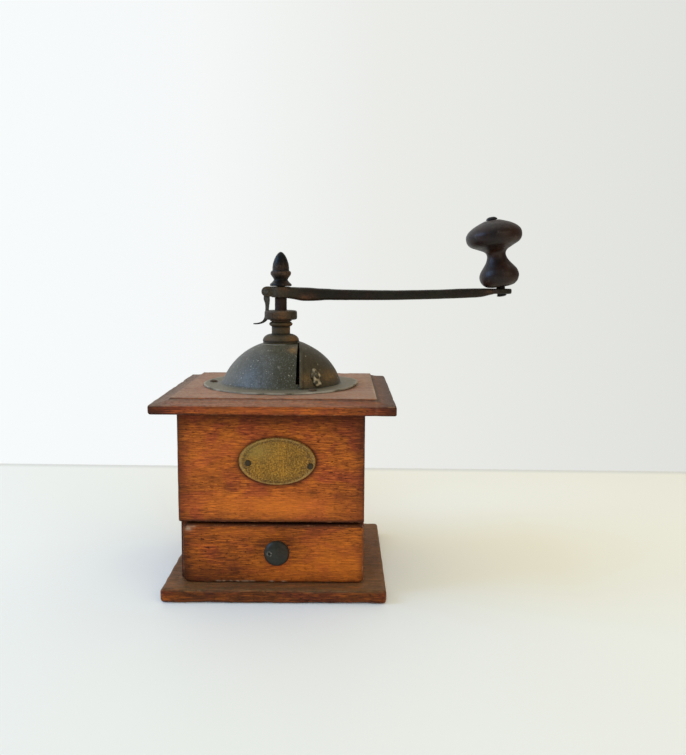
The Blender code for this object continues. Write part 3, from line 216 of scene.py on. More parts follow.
def wood_finish(name, run, bright, middle, dark, dusty=0.0, grime_and_shade=0.7, shift=0.0, dust_and_light=(0.30, 0.21, 0.16),
                blushes=0.75):
    """Stained wood, with its grain along the axis where run is under 1. Stains, glows and pale rubs come from the
    piece's own points; the stain layer also holds painted shade in gaps, creases and under overhangs, and the rub
    layer holds painted highlights. Arrises are grimy on the flat and rubbed pale at the edge; where a piece's edge
    value follows a crease, that darkening is painted shade, and the bare layer darkens by keeping dust off, as painted
    shade."""
    finish, tree, shader = new_finish(name)
    away = (shift, shift * 0.7, shift * 1.3)

    def spots(along, across, detail=3.0, roughness=0.6, warp=0.0):
        """Spots drawn out along the grain."""
        return mottle(tree, spread(tree, [along if r < 1 else across for r in run], away), 1.0, detail,
                      roughness, warp)

    cloud = spots(28, 75, 3.0, 0.55, 0.4)
    bands = grade(tree, spots(14, 320, 3.0, 0.6), 0.36, 0.64)
    fibres = spots(95, 1250, 4.0, 0.70)
    dashes = spots(260, 1500, 2.0, 0.6)
    pores = spots(330, 900, 1.0, 0.5)
    colour = lay(tree, grade(tree, cloud, 0.38, 0.60), middle, bright)
    blush = spots(45, 70, 2.0, 0.5, 0.5)
    red = [middle[0] * 0.92, middle[1] * 0.62, middle[2] * 1.7]
    colour = lay(tree, grade(tree, blush, 0.47, 0.60, 0.0, blushes), colour, red)
    colour = lay(tree, calc(tree, "MULTIPLY", bands, 0.34), colour, dark)
    colour = lay(tree, grade(tree, fibres, 0.47, 0.62, 0.0, 0.72), colour, dark)
    colour = lay(tree, grade(tree, fibres, 0.48, 0.34, 0.0, 0.60), colour, [c * 1.75 for c in bright])
    colour = lay(tree, grade(tree, dashes, 0.56, 0.66, 0.0, 0.75), colour, [c * 0.45 for c in dark])
    colour = lay(tree, grade(tree, pores, 0.68, 0.74, 0.0, 0.85), colour, [c * 0.30 for c in dark])

    edge = painted(tree, "edge")
    patchy = mottle(tree, spread(tree, (160, 160, 160), away), 1.0, 4.0, 0.6)
    # grime near the arrises; where the edge value follows a crease, this darkening is painted shade
    wide = grade(tree, edge, 0.0095, 0.0015, 0.0, 0.42)
    near = calc(tree, "MAXIMUM", wide, grade(tree, edge, 0.0026, 0.0007, 0.0, 0.95))
    grime_and_crease_shade = calc(tree, "MULTIPLY", near, grade(tree, patchy, 0.30, 0.60, 0.35, 1.0))
    colour = lay(tree, calc(tree, "MULTIPLY", grime_and_crease_shade, grime_and_shade), colour, [c * 0.40 + 0.005 for c in dark])
    colour = lay(tree, painted(tree, "stain_and_shade"), colour, [c * 0.28 + 0.003 for c in dark])
    colour = lay(tree, painted(tree, "glow"), colour, [c * 1.35 for c in bright])
    rub_and_highlight = calc(tree, "MULTIPLY", grade(tree, edge, 0.0010, 0.0002), grade(tree, patchy, 0.54, 0.68))
    colour = lay(tree, calc(tree, "MULTIPLY", rub_and_highlight, 0.6), colour, (0.36, 0.15, 0.06))
    if dusty:
        _, _, upwards = step(tree, "SeparateXYZ", {0: step(tree, "TexCoord").outputs["Normal"]}).outputs
        fine = mottle(tree, spread(tree, (420, 420, 420), away), 1.0, 5.0, 0.7)
        settled = calc(tree, "MULTIPLY", grade(tree, upwards, 0.25, 0.9),
                       grade(tree, fine, 0.32, 0.60, 0.40, 1.0))
        settled = calc(tree, "MULTIPLY", settled, grade(tree, cloud, 0.30, 0.62, 0.75, 1.0))
        settled = calc(tree, "MULTIPLY", settled, calc(tree, "SUBTRACT", 1.0, painted(tree, "bare_and_shade")))
        colour = lay(tree, calc(tree, "MULTIPLY", settled, dusty), colour, dust_and_light)
    colour = lay(tree, painted(tree, "rub_and_highlight"), colour, (0.50, 0.36, 0.25))
    tree.links.new(colour, shader.inputs["Base Color"])
    tree.links.new(grade(tree, fibres, 0.3, 0.7, 0.46, 0.70), shader.inputs["Roughness"])
    shader.inputs["Specular IOR Level"].default_value = 0.14
    worn = calc(tree, "SUBTRACT", fibres, grade(tree, dashes, 0.56, 0.66, 0.0, 0.6))
    bumps = relief(tree, worn, 0.00030, 0.85)
    tree.links.new(relief(tree, patchy, 0.00035, 0.5, bumps), shader.inputs["Normal"])
    return finish


def worn_board(low, high, rounding, cell=0.0022, wear=0.5, seed=0.0, near=None, rise=None):
    """A board as a fine net of quads, with its arrises rounded unevenly by handling. near gives
    extra lines in from the sides, and rise lifts the top by the distance from its edge."""
    low, high = Vector(low), Vector(high)
    lines = []
    for axis, (start, end) in enumerate(zip(low, high)):
        reach = min(rounding, (end - start) * 0.2)
        steps = [reach * share for share in (0, 0.3, 0.65, 1.1, 1.7, 2.3)]
        if near and axis < 2:
            steps = sorted({*steps[:4], *near})
        gap = end - start - 2 * steps[-1]
        count = max(1, round(gap / cell))
        lines.append([start + s for s in steps]
                     + [start + steps[-1] + gap * i / count for i in range(1, count)]
                     + [end - s for s in reversed(steps)])
    solid = bmesh.new()
    edge = solid.verts.layers.float.new("edge")
    made = {}

    def corner(key):
        """The vertex where three lines meet, made once."""
        if key not in made:
            made[key] = solid.verts.new([lines[a][key[a]] for a in range(3)])
        return made[key]

    for axis in range(3):
        first, second = (axis + 1) % 3, (axis + 2) % 3
        for side in (0, len(lines[axis]) - 1):
            for i in range(len(lines[first]) - 1):
                for j in range(len(lines[second]) - 1):
                    keys = []
                    for di, dj in ((0, 0), (1, 0), (1, 1), (0, 1)):
                        key = [0, 0, 0]
                        key[axis], key[first], key[second] = side, i + di, j + dj
                        keys.append(corner(tuple(key)))
                    solid.faces.new(keys if side else reversed(keys))
    for vert in solid.verts:
        spot = vert.co.copy()
        flank = sorted(min(spot[a] - low[a], high[a] - spot[a]) for a in range(3))
        vert[edge] = flank[1]
        place = spot * 42 + Vector((seed, seed * 2, -seed))
        radius = rounding * (1 + wear * (noise.noise(place) + 0.7 * noise.noise(place * 3.1)))
        radius += rounding * max(0.0, noise.noise(place * 1.9 + Vector((9, 4, 2))) - 0.30) * 2.2
        radius = max(rounding * 0.45, min(radius, rounding * 1.9))
        inner = Vector([min(max(spot[a], low[a] + radius), high[a] - radius) for a in range(3)])
        out = spot - inner
        if out.length > 1e-7:
            vert.co = inner + out.normalized() * min(out.length, radius)
        if rise and spot.z > high.z - 1e-6:
            inwards = min(spot.x - low.x, high.x - spot.x, spot.y - low.y, high.y - spot.y)
            vert.co.z += rise(inwards)
            vert[edge] = inwards
    return solid


def as_mesh(solid, name):
    """A shape as a mesh; the shape itself is freed."""
    mesh = bpy.data.meshes.new(name)
    solid.to_mesh(mesh)
    solid.free()
    return mesh


def show(name, solid, finish, body, slot, *nodes, angle=42):
    """Make a shape into a piece that rides on its body and stands for its CAD nodes."""
    mesh = as_mesh(solid, name)
    mesh.materials.append(finish)
    mesh.shade_smooth()
    mesh.set_sharp_from_angle(angle=math.radians(angle))
    piece = bpy.data.objects.new(name, mesh)
    bpy.context.scene.collection.objects.link(piece)
    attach(piece, body)
    if nodes:
        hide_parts(*nodes)
    return piece


def paint_spots(solid, name, spots, axes=(0, 2)):
    """Store soft elongated spots in a shape's points: (place, place, reach, reach, strength)."""
    layer = solid.verts.layers.float.get(name) or solid.verts.layers.float.new(name)
    for vert in solid.verts:
        value = vert[layer]
        for a, b, reach_a, reach_b, strength in spots:
            off = ((vert.co[axes[0]] - a) / reach_a) ** 2 + ((vert.co[axes[1]] - b) / reach_b) ** 2
            value += strength * math.exp(-off)
        vert[layer] = max(0.0, min(value, 1.0))


def staged(mesh):
    """A mesh as an object in the scene, to change with modifiers."""
    holder = bpy.data.objects.new(mesh.name, mesh)
    bpy.context.scene.collection.objects.link(holder)
    return holder


def settled(holder):
    """The shape of an object with its modifiers applied; the object is removed."""
    graph = bpy.context.evaluated_depsgraph_get()
    mesh = bpy.data.meshes.new_from_object(holder.evaluated_get(graph))
    bpy.data.objects.remove(holder)
    solid = bmesh.new()
    solid.from_mesh(mesh)
    return solid


def cut_holes(solid, cutters):
    """Cut closed shapes out of a shape and give it back."""
    holder = staged(as_mesh(solid, "blank"))
    tools = []
    for cutter in cutters:
        tool = staged(cutter)
        tool.hide_render = True
        change = holder.modifiers.new("cut", "BOOLEAN")
        change.object = tool
        change.solver = "EXACT"
        tools.append(tool)
    solid = settled(holder)
    for tool in tools:
        bpy.data.objects.remove(tool)
    return solid


def bar(radius, start, end, sides=48):
    """A round bar between two points, as a mesh to cut with."""
    start, end = Vector(start), Vector(end)
    solid = bmesh.new()
    bmesh.ops.create_cone(solid, cap_ends=True, segments=sides, radius1=radius, radius2=radius,
                          depth=(end - start).length)
    facing = (end - start).to_track_quat("Z", "Y").to_matrix().to_4x4()
    bmesh.ops.transform(solid, matrix=Matrix.Translation((start + end) / 2) @ facing, verts=solid.verts)
    return as_mesh(solid, "bar")


base_low, base_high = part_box("base_board")
base_front = -0.0735
solid = worn_board(base_low, base_high, 0.0026, seed=3.1)
paint_spots(solid, "stain_and_shade",
            [(-0.045, base_front, 0.020, 0.012, 0.35), (0.030, base_front, 0.026, 0.004, 0.45),
                             (0.066, base_front, 0.010, 0.010, 0.30),
                             (-0.010, base_front, 0.018, 0.004, 0.35)], (0, 1))
brown_wood = wood_finish("base_wood", (0.20, 1.0, 1.0), (0.31, 0.076, 0.009), (0.20, 0.048, 0.007),
                         (0.050, 0.014, 0.005), dusty=0.62, grime_and_shade=0.35, shift=1.7,
                         dust_and_light=(0.135, 0.096, 0.046))
show("base", solid, brown_wood, "case", "dark_wood", "base_board")


# The box: side panels, a back and a front panel of red-stained wood with the grain lying flat.
# The front overlaps the sides' edges above the drawer, and is nailed to them.
red_bright, red_middle, red_dark = (0.45, 0.115, 0.014), (0.33, 0.074, 0.012), (0.125, 0.026, 0.007)
red_wood = wood_finish("box_wood", (0.20, 1.0, 1.0), red_bright, red_middle, red_dark, grime_and_shade=0.85,
                       shift=4.2)
side_wood = wood_finish("side_wood", (1.0, 0.20, 1.0), [c * 0.72 for c in red_middle],
                        [c * 0.55 for c in red_middle],
                        [c * 0.6 for c in red_dark], grime_and_shade=0.9, shift=8.8)
front_low, front_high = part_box("front_panel")
solid = worn_board(front_low, front_high, 0.0009, cell=0.0016, seed=7.7)
# painted shade: a dark band along the top, under the top board's overhang, and dark lines along the bottom edge, in
# the gap above the drawer
paint_spots(solid, "stain_and_shade", [
    (-0.001, 0.1235, 0.075, 0.0085, 0.62), (-0.0630, 0.088, 0.0050, 0.050, 0.55),
    (0.0590, 0.090, 0.0050, 0.050, 0.50),
    (0.049, 0.110, 0.014, 0.014, 0.35), (0.046, 0.068, 0.012, 0.012, 0.32),
    (-0.030, 0.0735, 0.0035, 0.0018, 0.60),
    (0.0245, 0.0705, 0.0028, 0.0018, 0.65), (-0.040, 0.0800, 0.010, 0.0030, 0.35),
    (-0.052, 0.0720, 0.008, 0.006, 0.30),
    (0.002, 0.0508, 0.070, 0.0022, 0.65), (0.0, 0.0502, 0.090, 0.0013, 1.0),
    (-0.018, 0.0760, 0.006, 0.0012, 0.30)])
paint_spots(solid, "glow", [(0.006, 0.0610, 0.034, 0.0080, 0.62), (-0.030, 0.0990, 0.022, 0.0060, 0.22),
                            (-0.040, 0.0640, 0.020, 0.0050, 0.25), (-0.045, 0.088, 0.014, 0.010, 0.20)])
plate_low, plate_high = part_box("name_plate")
plate_mid, plate_half = (plate_low + plate_high) / 2, (plate_high - plate_low) / 2
# painted shadow: a dark ring on the panel round the brass plate's edge
for vert in solid.verts:
    off = math.hypot((vert.co.x - plate_mid.x) / plate_half.x,
                     (vert.co.z + 0.0003 - plate_mid.z) / plate_half.z)
    layer = solid.verts.layers.float["stain_and_shade"]
    vert[layer] = min(1.0, vert[layer] + 0.95 * math.exp(-((off - 0.99) * plate_half.z / 0.0013) ** 2))
show("box_front", solid, red_wood, "case", "red_wood", "front_panel")
for node, seed in (("side_panel_left", 11.3), ("side_panel_right", 17.9), ("back_panel", 23.4)):
    low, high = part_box(node)
    solid = worn_board(low, high, 0.0009, cell=0.003, seed=seed)
    # painted shade: darker along the top, under the top board's overhang, and along the foot, where the board meets
    # the base
    paint_spots(solid, "stain_and_shade", [((low.y + high.y) / 2, high.z, 0.08, 0.010, 0.40),
                                 ((low.y + high.y) / 2, low.z, 0.08, 0.006, 0.45)], (1, 2))
    show(node.replace("panel", "board"), solid, red_wood if node == "back_panel" else side_wood, "case",
         "red_wood", node)


# The drawer: a front with round corners, a little proud of the panel above it, nailed to a box of
# plain unstained boards. It slides on the base.
def wood_box(name, node, finish, body, slot, seed, rounding=0.0008):
    """A plain inner board in place of its CAD node."""
    low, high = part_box(node)
    show(name, worn_board(low, high, rounding, cell=0.004, seed=seed), finish, body, slot, node)


drawer_wood = wood_finish("drawer_wood", (0.20, 1.0, 1.0), (0.40, 0.100, 0.010), (0.28, 0.066, 0.009),
                          (0.105, 0.024, 0.006),
                          grime_and_shade=0.7, shift=13.1)
drawer_low, drawer_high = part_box("drawer_front")
solid = worn_board(drawer_low, drawer_high, 0.0013, cell=0.0015, seed=31.0)
# painted shade: dark lines along the top and bottom edges, in the gaps, and a painted shadow of the knob to its upper
# right
paint_spots(solid, "stain_and_shade", [
    (-0.0600, 0.028, 0.005, 0.030, 0.60), (-0.050, 0.014, 0.022, 0.007, 0.45),
    (0.001, 0.0096, 0.080, 0.0016, 0.60),
    (-0.030, 0.022, 0.018, 0.008, 0.22), (0.010, 0.0385, 0.007, 0.006, 0.40),
    (0.0580, 0.024, 0.002, 0.020, 0.45),
    (-0.0255, 0.0175, 0.004, 0.0024, 0.45), (-0.010, 0.036, 0.012, 0.004, 0.25),
    (-0.034, 0.030, 0.006, 0.003, 0.25),
    (0.010, 0.0489, 0.090, 0.0015, 1.0)])
paint_spots(solid, "glow", [(0.040, 0.022, 0.022, 0.012, 0.45), (0.005, 0.0165, 0.016, 0.006, 0.35),
                            (-0.020, 0.0435, 0.030, 0.003, 0.35),
                            (0.036, 0.036, 0.018, 0.007, 0.22)])
paint_spots(solid, "rub_and_highlight", [(-0.0568, 0.0462, 0.0018, 0.0014, 0.60), (-0.0533, 0.0475, 0.0014, 0.0006, 0.35)]
            + [(x, 0.0102, 0.0011, 0.0005, 0.75)
               for x in (-0.0372, -0.0335, -0.0290, -0.0245, -0.0205, -0.0178, -0.0146, -0.0020, 0.0060)])
corner_round = 0.0036
for vert in solid.verts:
    off = [0.0, 0.0]
    for k, axis in enumerate((0, 2)):
        start, end = drawer_low[axis] + corner_round, drawer_high[axis] - corner_round
        off[k] = vert.co[axis] - min(max(vert.co[axis], start), end)
    if off[0] and off[1]:
        scale = max(abs(off[0]), abs(off[1])) / math.hypot(*off)
        vert.co.x += off[0] * (scale - 1)
        vert.co.z += off[1] * (scale - 1)
show("drawer_face", solid, drawer_wood, "drawer", "red_wood", "drawer_front")
plain_wood = wood_finish("plain_wood", (1.0, 0.20, 1.0), (0.42, 0.27, 0.145), (0.33, 0.20, 0.10),
                         (0.16, 0.085, 0.040),
                         grime_and_shade=0.6, shift=19.0, blushes=0.08)
cross_wood = wood_finish("cross_wood", (0.20, 1.0, 1.0), (0.42, 0.27, 0.145), (0.33, 0.20, 0.10),
                         (0.16, 0.085, 0.040),
                         grime_and_shade=0.6, shift=21.0, blushes=0.08)
wood_box("drawer_wall_left", "drawer_side_left", plain_wood, "drawer", "inner_wood", 41.0)
wood_box("drawer_wall_right", "drawer_side_right", plain_wood, "drawer", "inner_wood", 43.0)
wood_box("drawer_rear", "drawer_back", cross_wood, "drawer", "inner_wood", 47.0)
wood_box("drawer_floor", "drawer_bottom", cross_wood, "drawer", "inner_wood", 53.0, 0.0004)


# The top board: a square edge, a hollow moulding and a small step up to the flat field under the
# hopper, with a hole for the beans. Its top is dull and dusty pink-brown, its front edge orange.
top_low, top_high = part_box("top_board")
edge_height, border, step_width = 0.0062, 0.0115, 0.0006
hollow_rise, step_rise, throat = 0.0020, 0.0012, 0.0245
edge_top = top_low.z + edge_height


def moulding(inwards):
    """The rise of the board's top with the distance from its edge."""
    if inwards < border:
        return hollow_rise * (max(0.0, inwards) / border) ** 2.1
    return hollow_rise + step_rise * min(1.0, (inwards - border) / step_width)


solid = worn_board(top_low, (top_high.x, top_high.y, edge_top), 0.0015, cell=0.0026, seed=61.0, wear=0.45,
                   near=(0.0022, 0.0032, 0.0045, 0.006, 0.0075, 0.009, 0.0102, 0.0110, 0.0114, 0.0116,
                         0.0118, 0.0120,
                         0.0122, 0.0126, 0.0135, 0.015), rise=moulding)
# the field's edge value becomes its distance from the step, so the finish darkens the crease at its foot: painted
# shade
for vert in solid.verts:
    if vert.co.z > edge_top + 0.0026:
        inwards = min(vert.co.x - top_low.x, top_high.x - vert.co.x, vert.co.y - top_low.y,
                      top_high.y - vert.co.y)
        vert[solid.verts.layers.float["edge"]] = abs(inwards - border - step_width) + 0.0004
        chip = noise.noise(vert.co * 120 + Vector((5, 3, 1)))
        if inwards < 0.0127 and chip > 0.2:
            vert.co.z -= 0.0009 * (chip - 0.2)
# painted shade: dark lines along the foot of the front edge, at the board's underside
paint_spots(solid, "stain_and_shade", [(-0.078, 0.128, 0.013, 0.010, 0.85), (0.078, 0.128, 0.014, 0.010, 0.80),
                             (-0.055, 0.1245, 0.02, 0.002, 0.3),
                             (0.0, 0.1246, 0.09, 0.0007, 0.75)])
bare_and_shade = solid.verts.layers.float.new("bare_and_shade")
stain_and_shade = solid.verts.layers.float["stain_and_shade"]
# painted shade in the hollow moulding: darkest in the crease by the step, more towards the right, and kept free of
# dust
for vert in solid.verts:
    inwards = min(vert.co.x - top_low.x, top_high.x - vert.co.x, vert.co.y - top_low.y,
                  top_high.y - vert.co.y)
    if vert.co.z > edge_top - 0.001 and inwards < 0.0120:
        vert[bare_and_shade] = 0.35 + 0.35 * min(1.0, max(0.0, vert.co.x / 0.06))
        vert[stain_and_shade] = min(1.0, vert[stain_and_shade] + 0.55 * math.exp(-((inwards - 0.0112) / 0.0012) ** 2) + 0.18)
paint_spots(solid, "glow", [(0.004, 0.1275, 0.030, 0.0024, 0.30), (-0.030, 0.1280, 0.022, 0.0016, 0.15)])
# painted highlight: the first pale line, along the step at the right
paint_spots(solid, "rub_and_highlight", [(0.0655, -0.030, 0.0008, 0.030, 0.45), (0.050, -0.0622, 0.014, 0.0006, 0.40),
                           (0.061, 0.020, 0.0010, 0.025, 0.25)], (0, 1))
solid = cut_holes(solid, [bar(throat, (0, 0, top_low.z - 0.01), (0, 0, top_high.z + 0.01), 96)])
top_wood = wood_finish("top_wood", (0.20, 1.0, 1.0), (0.37, 0.086, 0.012), (0.25, 0.060, 0.012),
                       (0.095, 0.024, 0.008),
                       dusty=0.82, grime_and_shade=0.45, shift=27.0, dust_and_light=(0.335, 0.232, 0.172))
show("top", solid, top_wood, "case", "dusty_wood", "top_board", angle=50)


# The nails and screws: cut iron nails in the box, slotted screws that hold the hopper's flange, and
# screws in the base, the ring and the bridge. Heads are low domes; each group is one piece a body.
def iron_finish(name, base, second, rust_and_warm_light, rusty=0.35, metal=0.6, rough=0.5, dusty=0.0,
                dust_and_light=(0.30, 0.24, 0.17),
                grain=1.0, pits=1.0, shift=0.0, speck=0.0):
    """Old iron: two tones of metal or scale, rust in patches and where it is painted on, and dust on what faces up;
    the stain layer is near black and holds painted shade in creases. grain scales its spots, pits its bumps."""
    finish, tree, shader = new_finish(name)
    away = (shift, shift * 0.6, shift * 1.4)
    spot = spread(tree, (1, 1, 1), away)
    broad = mottle(tree, spot, 70 * grain, 3.0, 0.5, 0.4)
    fine = mottle(tree, spot, 420 * grain, 5.0, 0.62)
    colour = lay(tree, grade(tree, broad, 0.38, 0.64), base, second)
    colour = lay(tree, grade(tree, fine, 0.58, 0.36, 0.0, 0.45), colour, [c * 0.45 for c in base])
    patch = calc(tree, "ADD", grade(tree, broad, 0.50, 0.72, 0.0, rusty), painted(tree, "rust_and_warm_light"))
    patch = calc(tree, "MULTIPLY", patch, grade(tree, fine, 0.36, 0.56, 0.35, 1.0))
    patch = calc(tree, "MINIMUM", patch, 1.0)
    colour = lay(tree, patch, colour, rust_and_warm_light)
    crumbs = mottle(tree, spot, 900 * grain, 3.0, 0.6)
    colour = lay(tree, calc(tree, "MULTIPLY", patch, grade(tree, crumbs, 0.55, 0.66)), colour,
                 [c * 1.6 + 0.01 for c in rust_and_warm_light])
    if speck:
        colour = lay(tree, grade(tree, mottle(tree, spot, 640, 1.0, 0.5), 0.74, 0.78, 0.0, speck), colour,
                     (0.42, 0.37, 0.30))
    colour = lay(tree, painted(tree, "stain_and_shade"), colour, (0.006, 0.005, 0.004))
    lit = colour
    if dusty:
        _, _, upwards = step(tree, "SeparateXYZ", {0: step(tree, "TexCoord").outputs["Normal"]}).outputs
        settled = calc(tree, "MULTIPLY", grade(tree, upwards, 0.15, 0.95),
                       grade(tree, fine, 0.34, 0.60, 0.35, 1.0))
        lit = lay(tree, calc(tree, "MULTIPLY", settled, dusty), lit, dust_and_light)
    lit = lay(tree, calc(tree, "MULTIPLY", painted(tree, "dust_and_light"),
                         grade(tree, crumbs, 0.36, 0.58, 0.30, 1.0)), lit, dust_and_light)
    lit = lay(tree, painted(tree, "rub_and_highlight"), lit, (0.42, 0.38, 0.32))
    tree.links.new(lit, shader.inputs["Base Color"])
    covered = calc(tree, "MAXIMUM", patch, painted(tree, "dust_and_light"))
    tree.links.new(grade(tree, covered, 0.0, 0.8, metal, 0.0), shader.inputs["Metallic"])
    roughness = calc(tree, "ADD", grade(tree, fine, 0.3, 0.7, rough - 0.07, rough + 0.10),
                     calc(tree, "MULTIPLY", covered, 0.3))
    tree.links.new(roughness, shader.inputs["Roughness"])
    shader.inputs["Specular IOR Level"].default_value = 0.30
    pitted = calc(tree, "ADD", fine, calc(tree, "MULTIPLY", calc(tree, "MULTIPLY", crumbs, patch), 0.8))
    tree.links.new(relief(tree, pitted, 0.00030 * pits, 0.8), shader.inputs["Normal"])
    return finish


def node_step(tree, kind, feeds=None, **settings):
    """One node of a shape's tree, with its options and what feeds it."""
    made = tree.nodes.new(kind)
    for option, value in settings.items():
        setattr(made, option, value)
    for socket, value in (feeds or {}).items():
        for one in (value if isinstance(value, list) else [value]):
            if isinstance(one, bpy.types.NodeSocket):
                tree.links.new(one, made.inputs[socket])
            else:
                made.inputs[socket].default_value = one
    return made


def new_tree(name, shape, sizes, count, result):
    """An empty tree for shapes with named inputs, and what its inputs give."""
    tree = bpy.data.node_groups.new(name, "GeometryNodeTree")
    sockets = [(shape, "INPUT", "Geometry"), *((label, "INPUT", "Float") for label in sizes),
               (count, "INPUT", "Int"), ("Finish", "INPUT", "Material"), (result, "OUTPUT", "Geometry")]
    for label, way, kind in sockets:
        tree.interface.new_socket(label, in_out=way, socket_type="NodeSocket" + kind)
    return tree, tree.nodes.new("NodeGroupInput").outputs


def compute(tree, way, first, second):
    """Arithmetic in a tree for shapes."""
    return node_step(tree, "ShaderNodeMath", {0: first, 1: second}, operation=way).outputs[0]


def vector(tree, x=0.0, y=0.0, z=0.0):
    """Three values as one place or size."""
    return node_step(tree, "ShaderNodeCombineXYZ", {0: x, 1: y, 2: z}).outputs[0]


def changed(tree, made, **change):
    """A node's shape, moved or scaled."""
    return node_step(tree, "GeometryNodeTransform", {"Geometry": made.outputs["Mesh"], **change}).outputs[0]


def cut_away(tree, shape, others):
    """A shape less other shapes."""
    return node_step(tree, "GeometryNodeMeshBoolean", {0: shape, 1: others}, operation="DIFFERENCE").outputs[0]


def planted(tree, points, shape, turned):
    """A copy of a shape on each point, made real."""
    feeds = {"Points": points, "Instance": shape, "Rotation": turned}
    placed = node_step(tree, "GeometryNodeInstanceOnPoints", feeds)
    return node_step(tree, "GeometryNodeRealizeInstances", {0: placed.outputs[0]}).outputs[0]


def finished(tree, shape, given):
    """End a tree with its shape and finish."""
    done = node_step(tree, "GeometryNodeSetMaterial", {"Geometry": shape, "Material": given["Finish"]})
    tree.links.new(done.outputs[0], tree.nodes.new("NodeGroupOutput").inputs[0])
    return tree


def fastener_tree():
    """Heads with a dome and a slot, on shanks, one at each point and facing along its direction."""
    sizes = ("Head Radius", "Head Height", "Shank Radius", "Shank Length", "Slot Width")
    tree, given = new_tree("fasteners", "Places", sizes, "Turn Seed", "Fasteners")
    radius, height, length, cleft = (given[label] for label in ("Head Radius", "Head Height", "Shank Length",
                                                                "Slot Width"))
    ball = node_step(tree, "GeometryNodeMeshUVSphere", {"Segments": 28, "Rings": 14, "Radius": radius})
    dome = changed(tree, ball, Scale=vector(tree, 1.0, 1.0, compute(tree, "DIVIDE", height, radius)))
    wide = compute(tree, "MULTIPLY", radius, 4.0)
    floor = node_step(tree, "GeometryNodeMeshCube", {"Size": vector(tree, wide, wide, wide)})
    floor = changed(tree, floor, Translation=vector(tree, z=compute(tree, "MULTIPLY", wide, -0.5)))
    slot = node_step(tree, "GeometryNodeMeshCube", {"Size": vector(tree, wide, cleft, height)})
    slot = changed(tree, slot, Translation=vector(tree, z=height))
    slotted = node_step(tree, "FunctionNodeCompare", {0: cleft, 1: 0.0}, operation="GREATER_THAN")
    choice = {0: slotted.outputs[0], 1: cut_away(tree, dome, floor), 2: cut_away(tree, dome, [floor, slot])}
    head = node_step(tree, "GeometryNodeSwitch", choice, input_type="GEOMETRY")
    shank = {"Vertices": 16, "Radius": given["Shank Radius"], "Depth": length}
    shank = node_step(tree, "GeometryNodeMeshCylinder", shank)
    shank = changed(tree, shank, Translation=vector(tree, z=compute(tree, "MULTIPLY", length, -0.5)))
    whole = node_step(tree, "GeometryNodeJoinGeometry", {0: [head.outputs[0], shank]})
    facing = node_step(tree, "GeometryNodeInputNamedAttribute", {"Name": "facing"}, data_type="FLOAT_VECTOR")
    facing = {"Vector": facing.outputs["Attribute"]}
    aligned = node_step(tree, "FunctionNodeAlignRotationToVector", facing, axis="Z")
    spin = node_step(tree, "FunctionNodeRandomValue", {"Seed": given["Turn Seed"]}, data_type="FLOAT")
    spin.inputs[3].default_value = math.tau
    about = {"Axis": (0, 0, 1), "Angle": spin.outputs[1]}
    about = node_step(tree, "FunctionNodeAxisAngleToRotation", about)
    turned = {0: aligned.outputs[0], 1: about.outputs[0]}
    turned = node_step(tree, "FunctionNodeRotateRotation", turned, rotation_space="LOCAL")
    return finished(tree, planted(tree, given["Places"], whole.outputs[0], turned.outputs[0]), given)


def grown(name, tree, seedbed, values, finish):
    """Run a tree on a mesh of points and keep the result as a plain mesh."""
    holder = staged(seedbed)
    change = holder.modifiers.new(name, "NODES")
    change.node_group = tree
    for item in tree.interface.items_tree:
        if item.in_out == "INPUT" and item.name in values:
            change[item.identifier] = values[item.name]
        elif item.in_out == "INPUT" and item.socket_type == "NodeSocketMaterial":
            change[item.identifier] = finish
    solid = settled(holder)
    bmesh.ops.remove_doubles(solid, verts=solid.verts, dist=1e-6)
    return solid


fastener_shapes = fastener_tree()


def fasteners(name, nodes, facing, finish, body, slot, sizes, seed=1, places=None):
    """A group of like fasteners that stand for their CAD nodes, with heads towards a direction. The
    sizes are head radius, head height, shank radius, shank length and slot width."""
    head, height, shank, length, cleft = sizes
    facing = Vector(facing)
    seedbed = bpy.data.meshes.new(name)
    if not places:
        places = []
        for node in nodes:
            low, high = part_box(node)
            reach = sum(abs(facing[a]) * (high[a] - low[a]) for a in range(3)) / 2
            places.append((low + high) / 2 + facing * (reach - height))
    seedbed.from_pydata([tuple(place) for place in places], [], [])
    direction = seedbed.attributes.new("facing", "FLOAT_VECTOR", "POINT")
    for item in direction.data:
        item.vector = facing
    values = {"Head Radius": head, "Head Height": height, "Shank Radius": shank, "Shank Length": length,
              "Slot Width": cleft, "Turn Seed": seed}
    solid = grown(name, fastener_shapes, seedbed, values, finish)
    return show(name, solid, finish, body, slot, *nodes, angle=35)


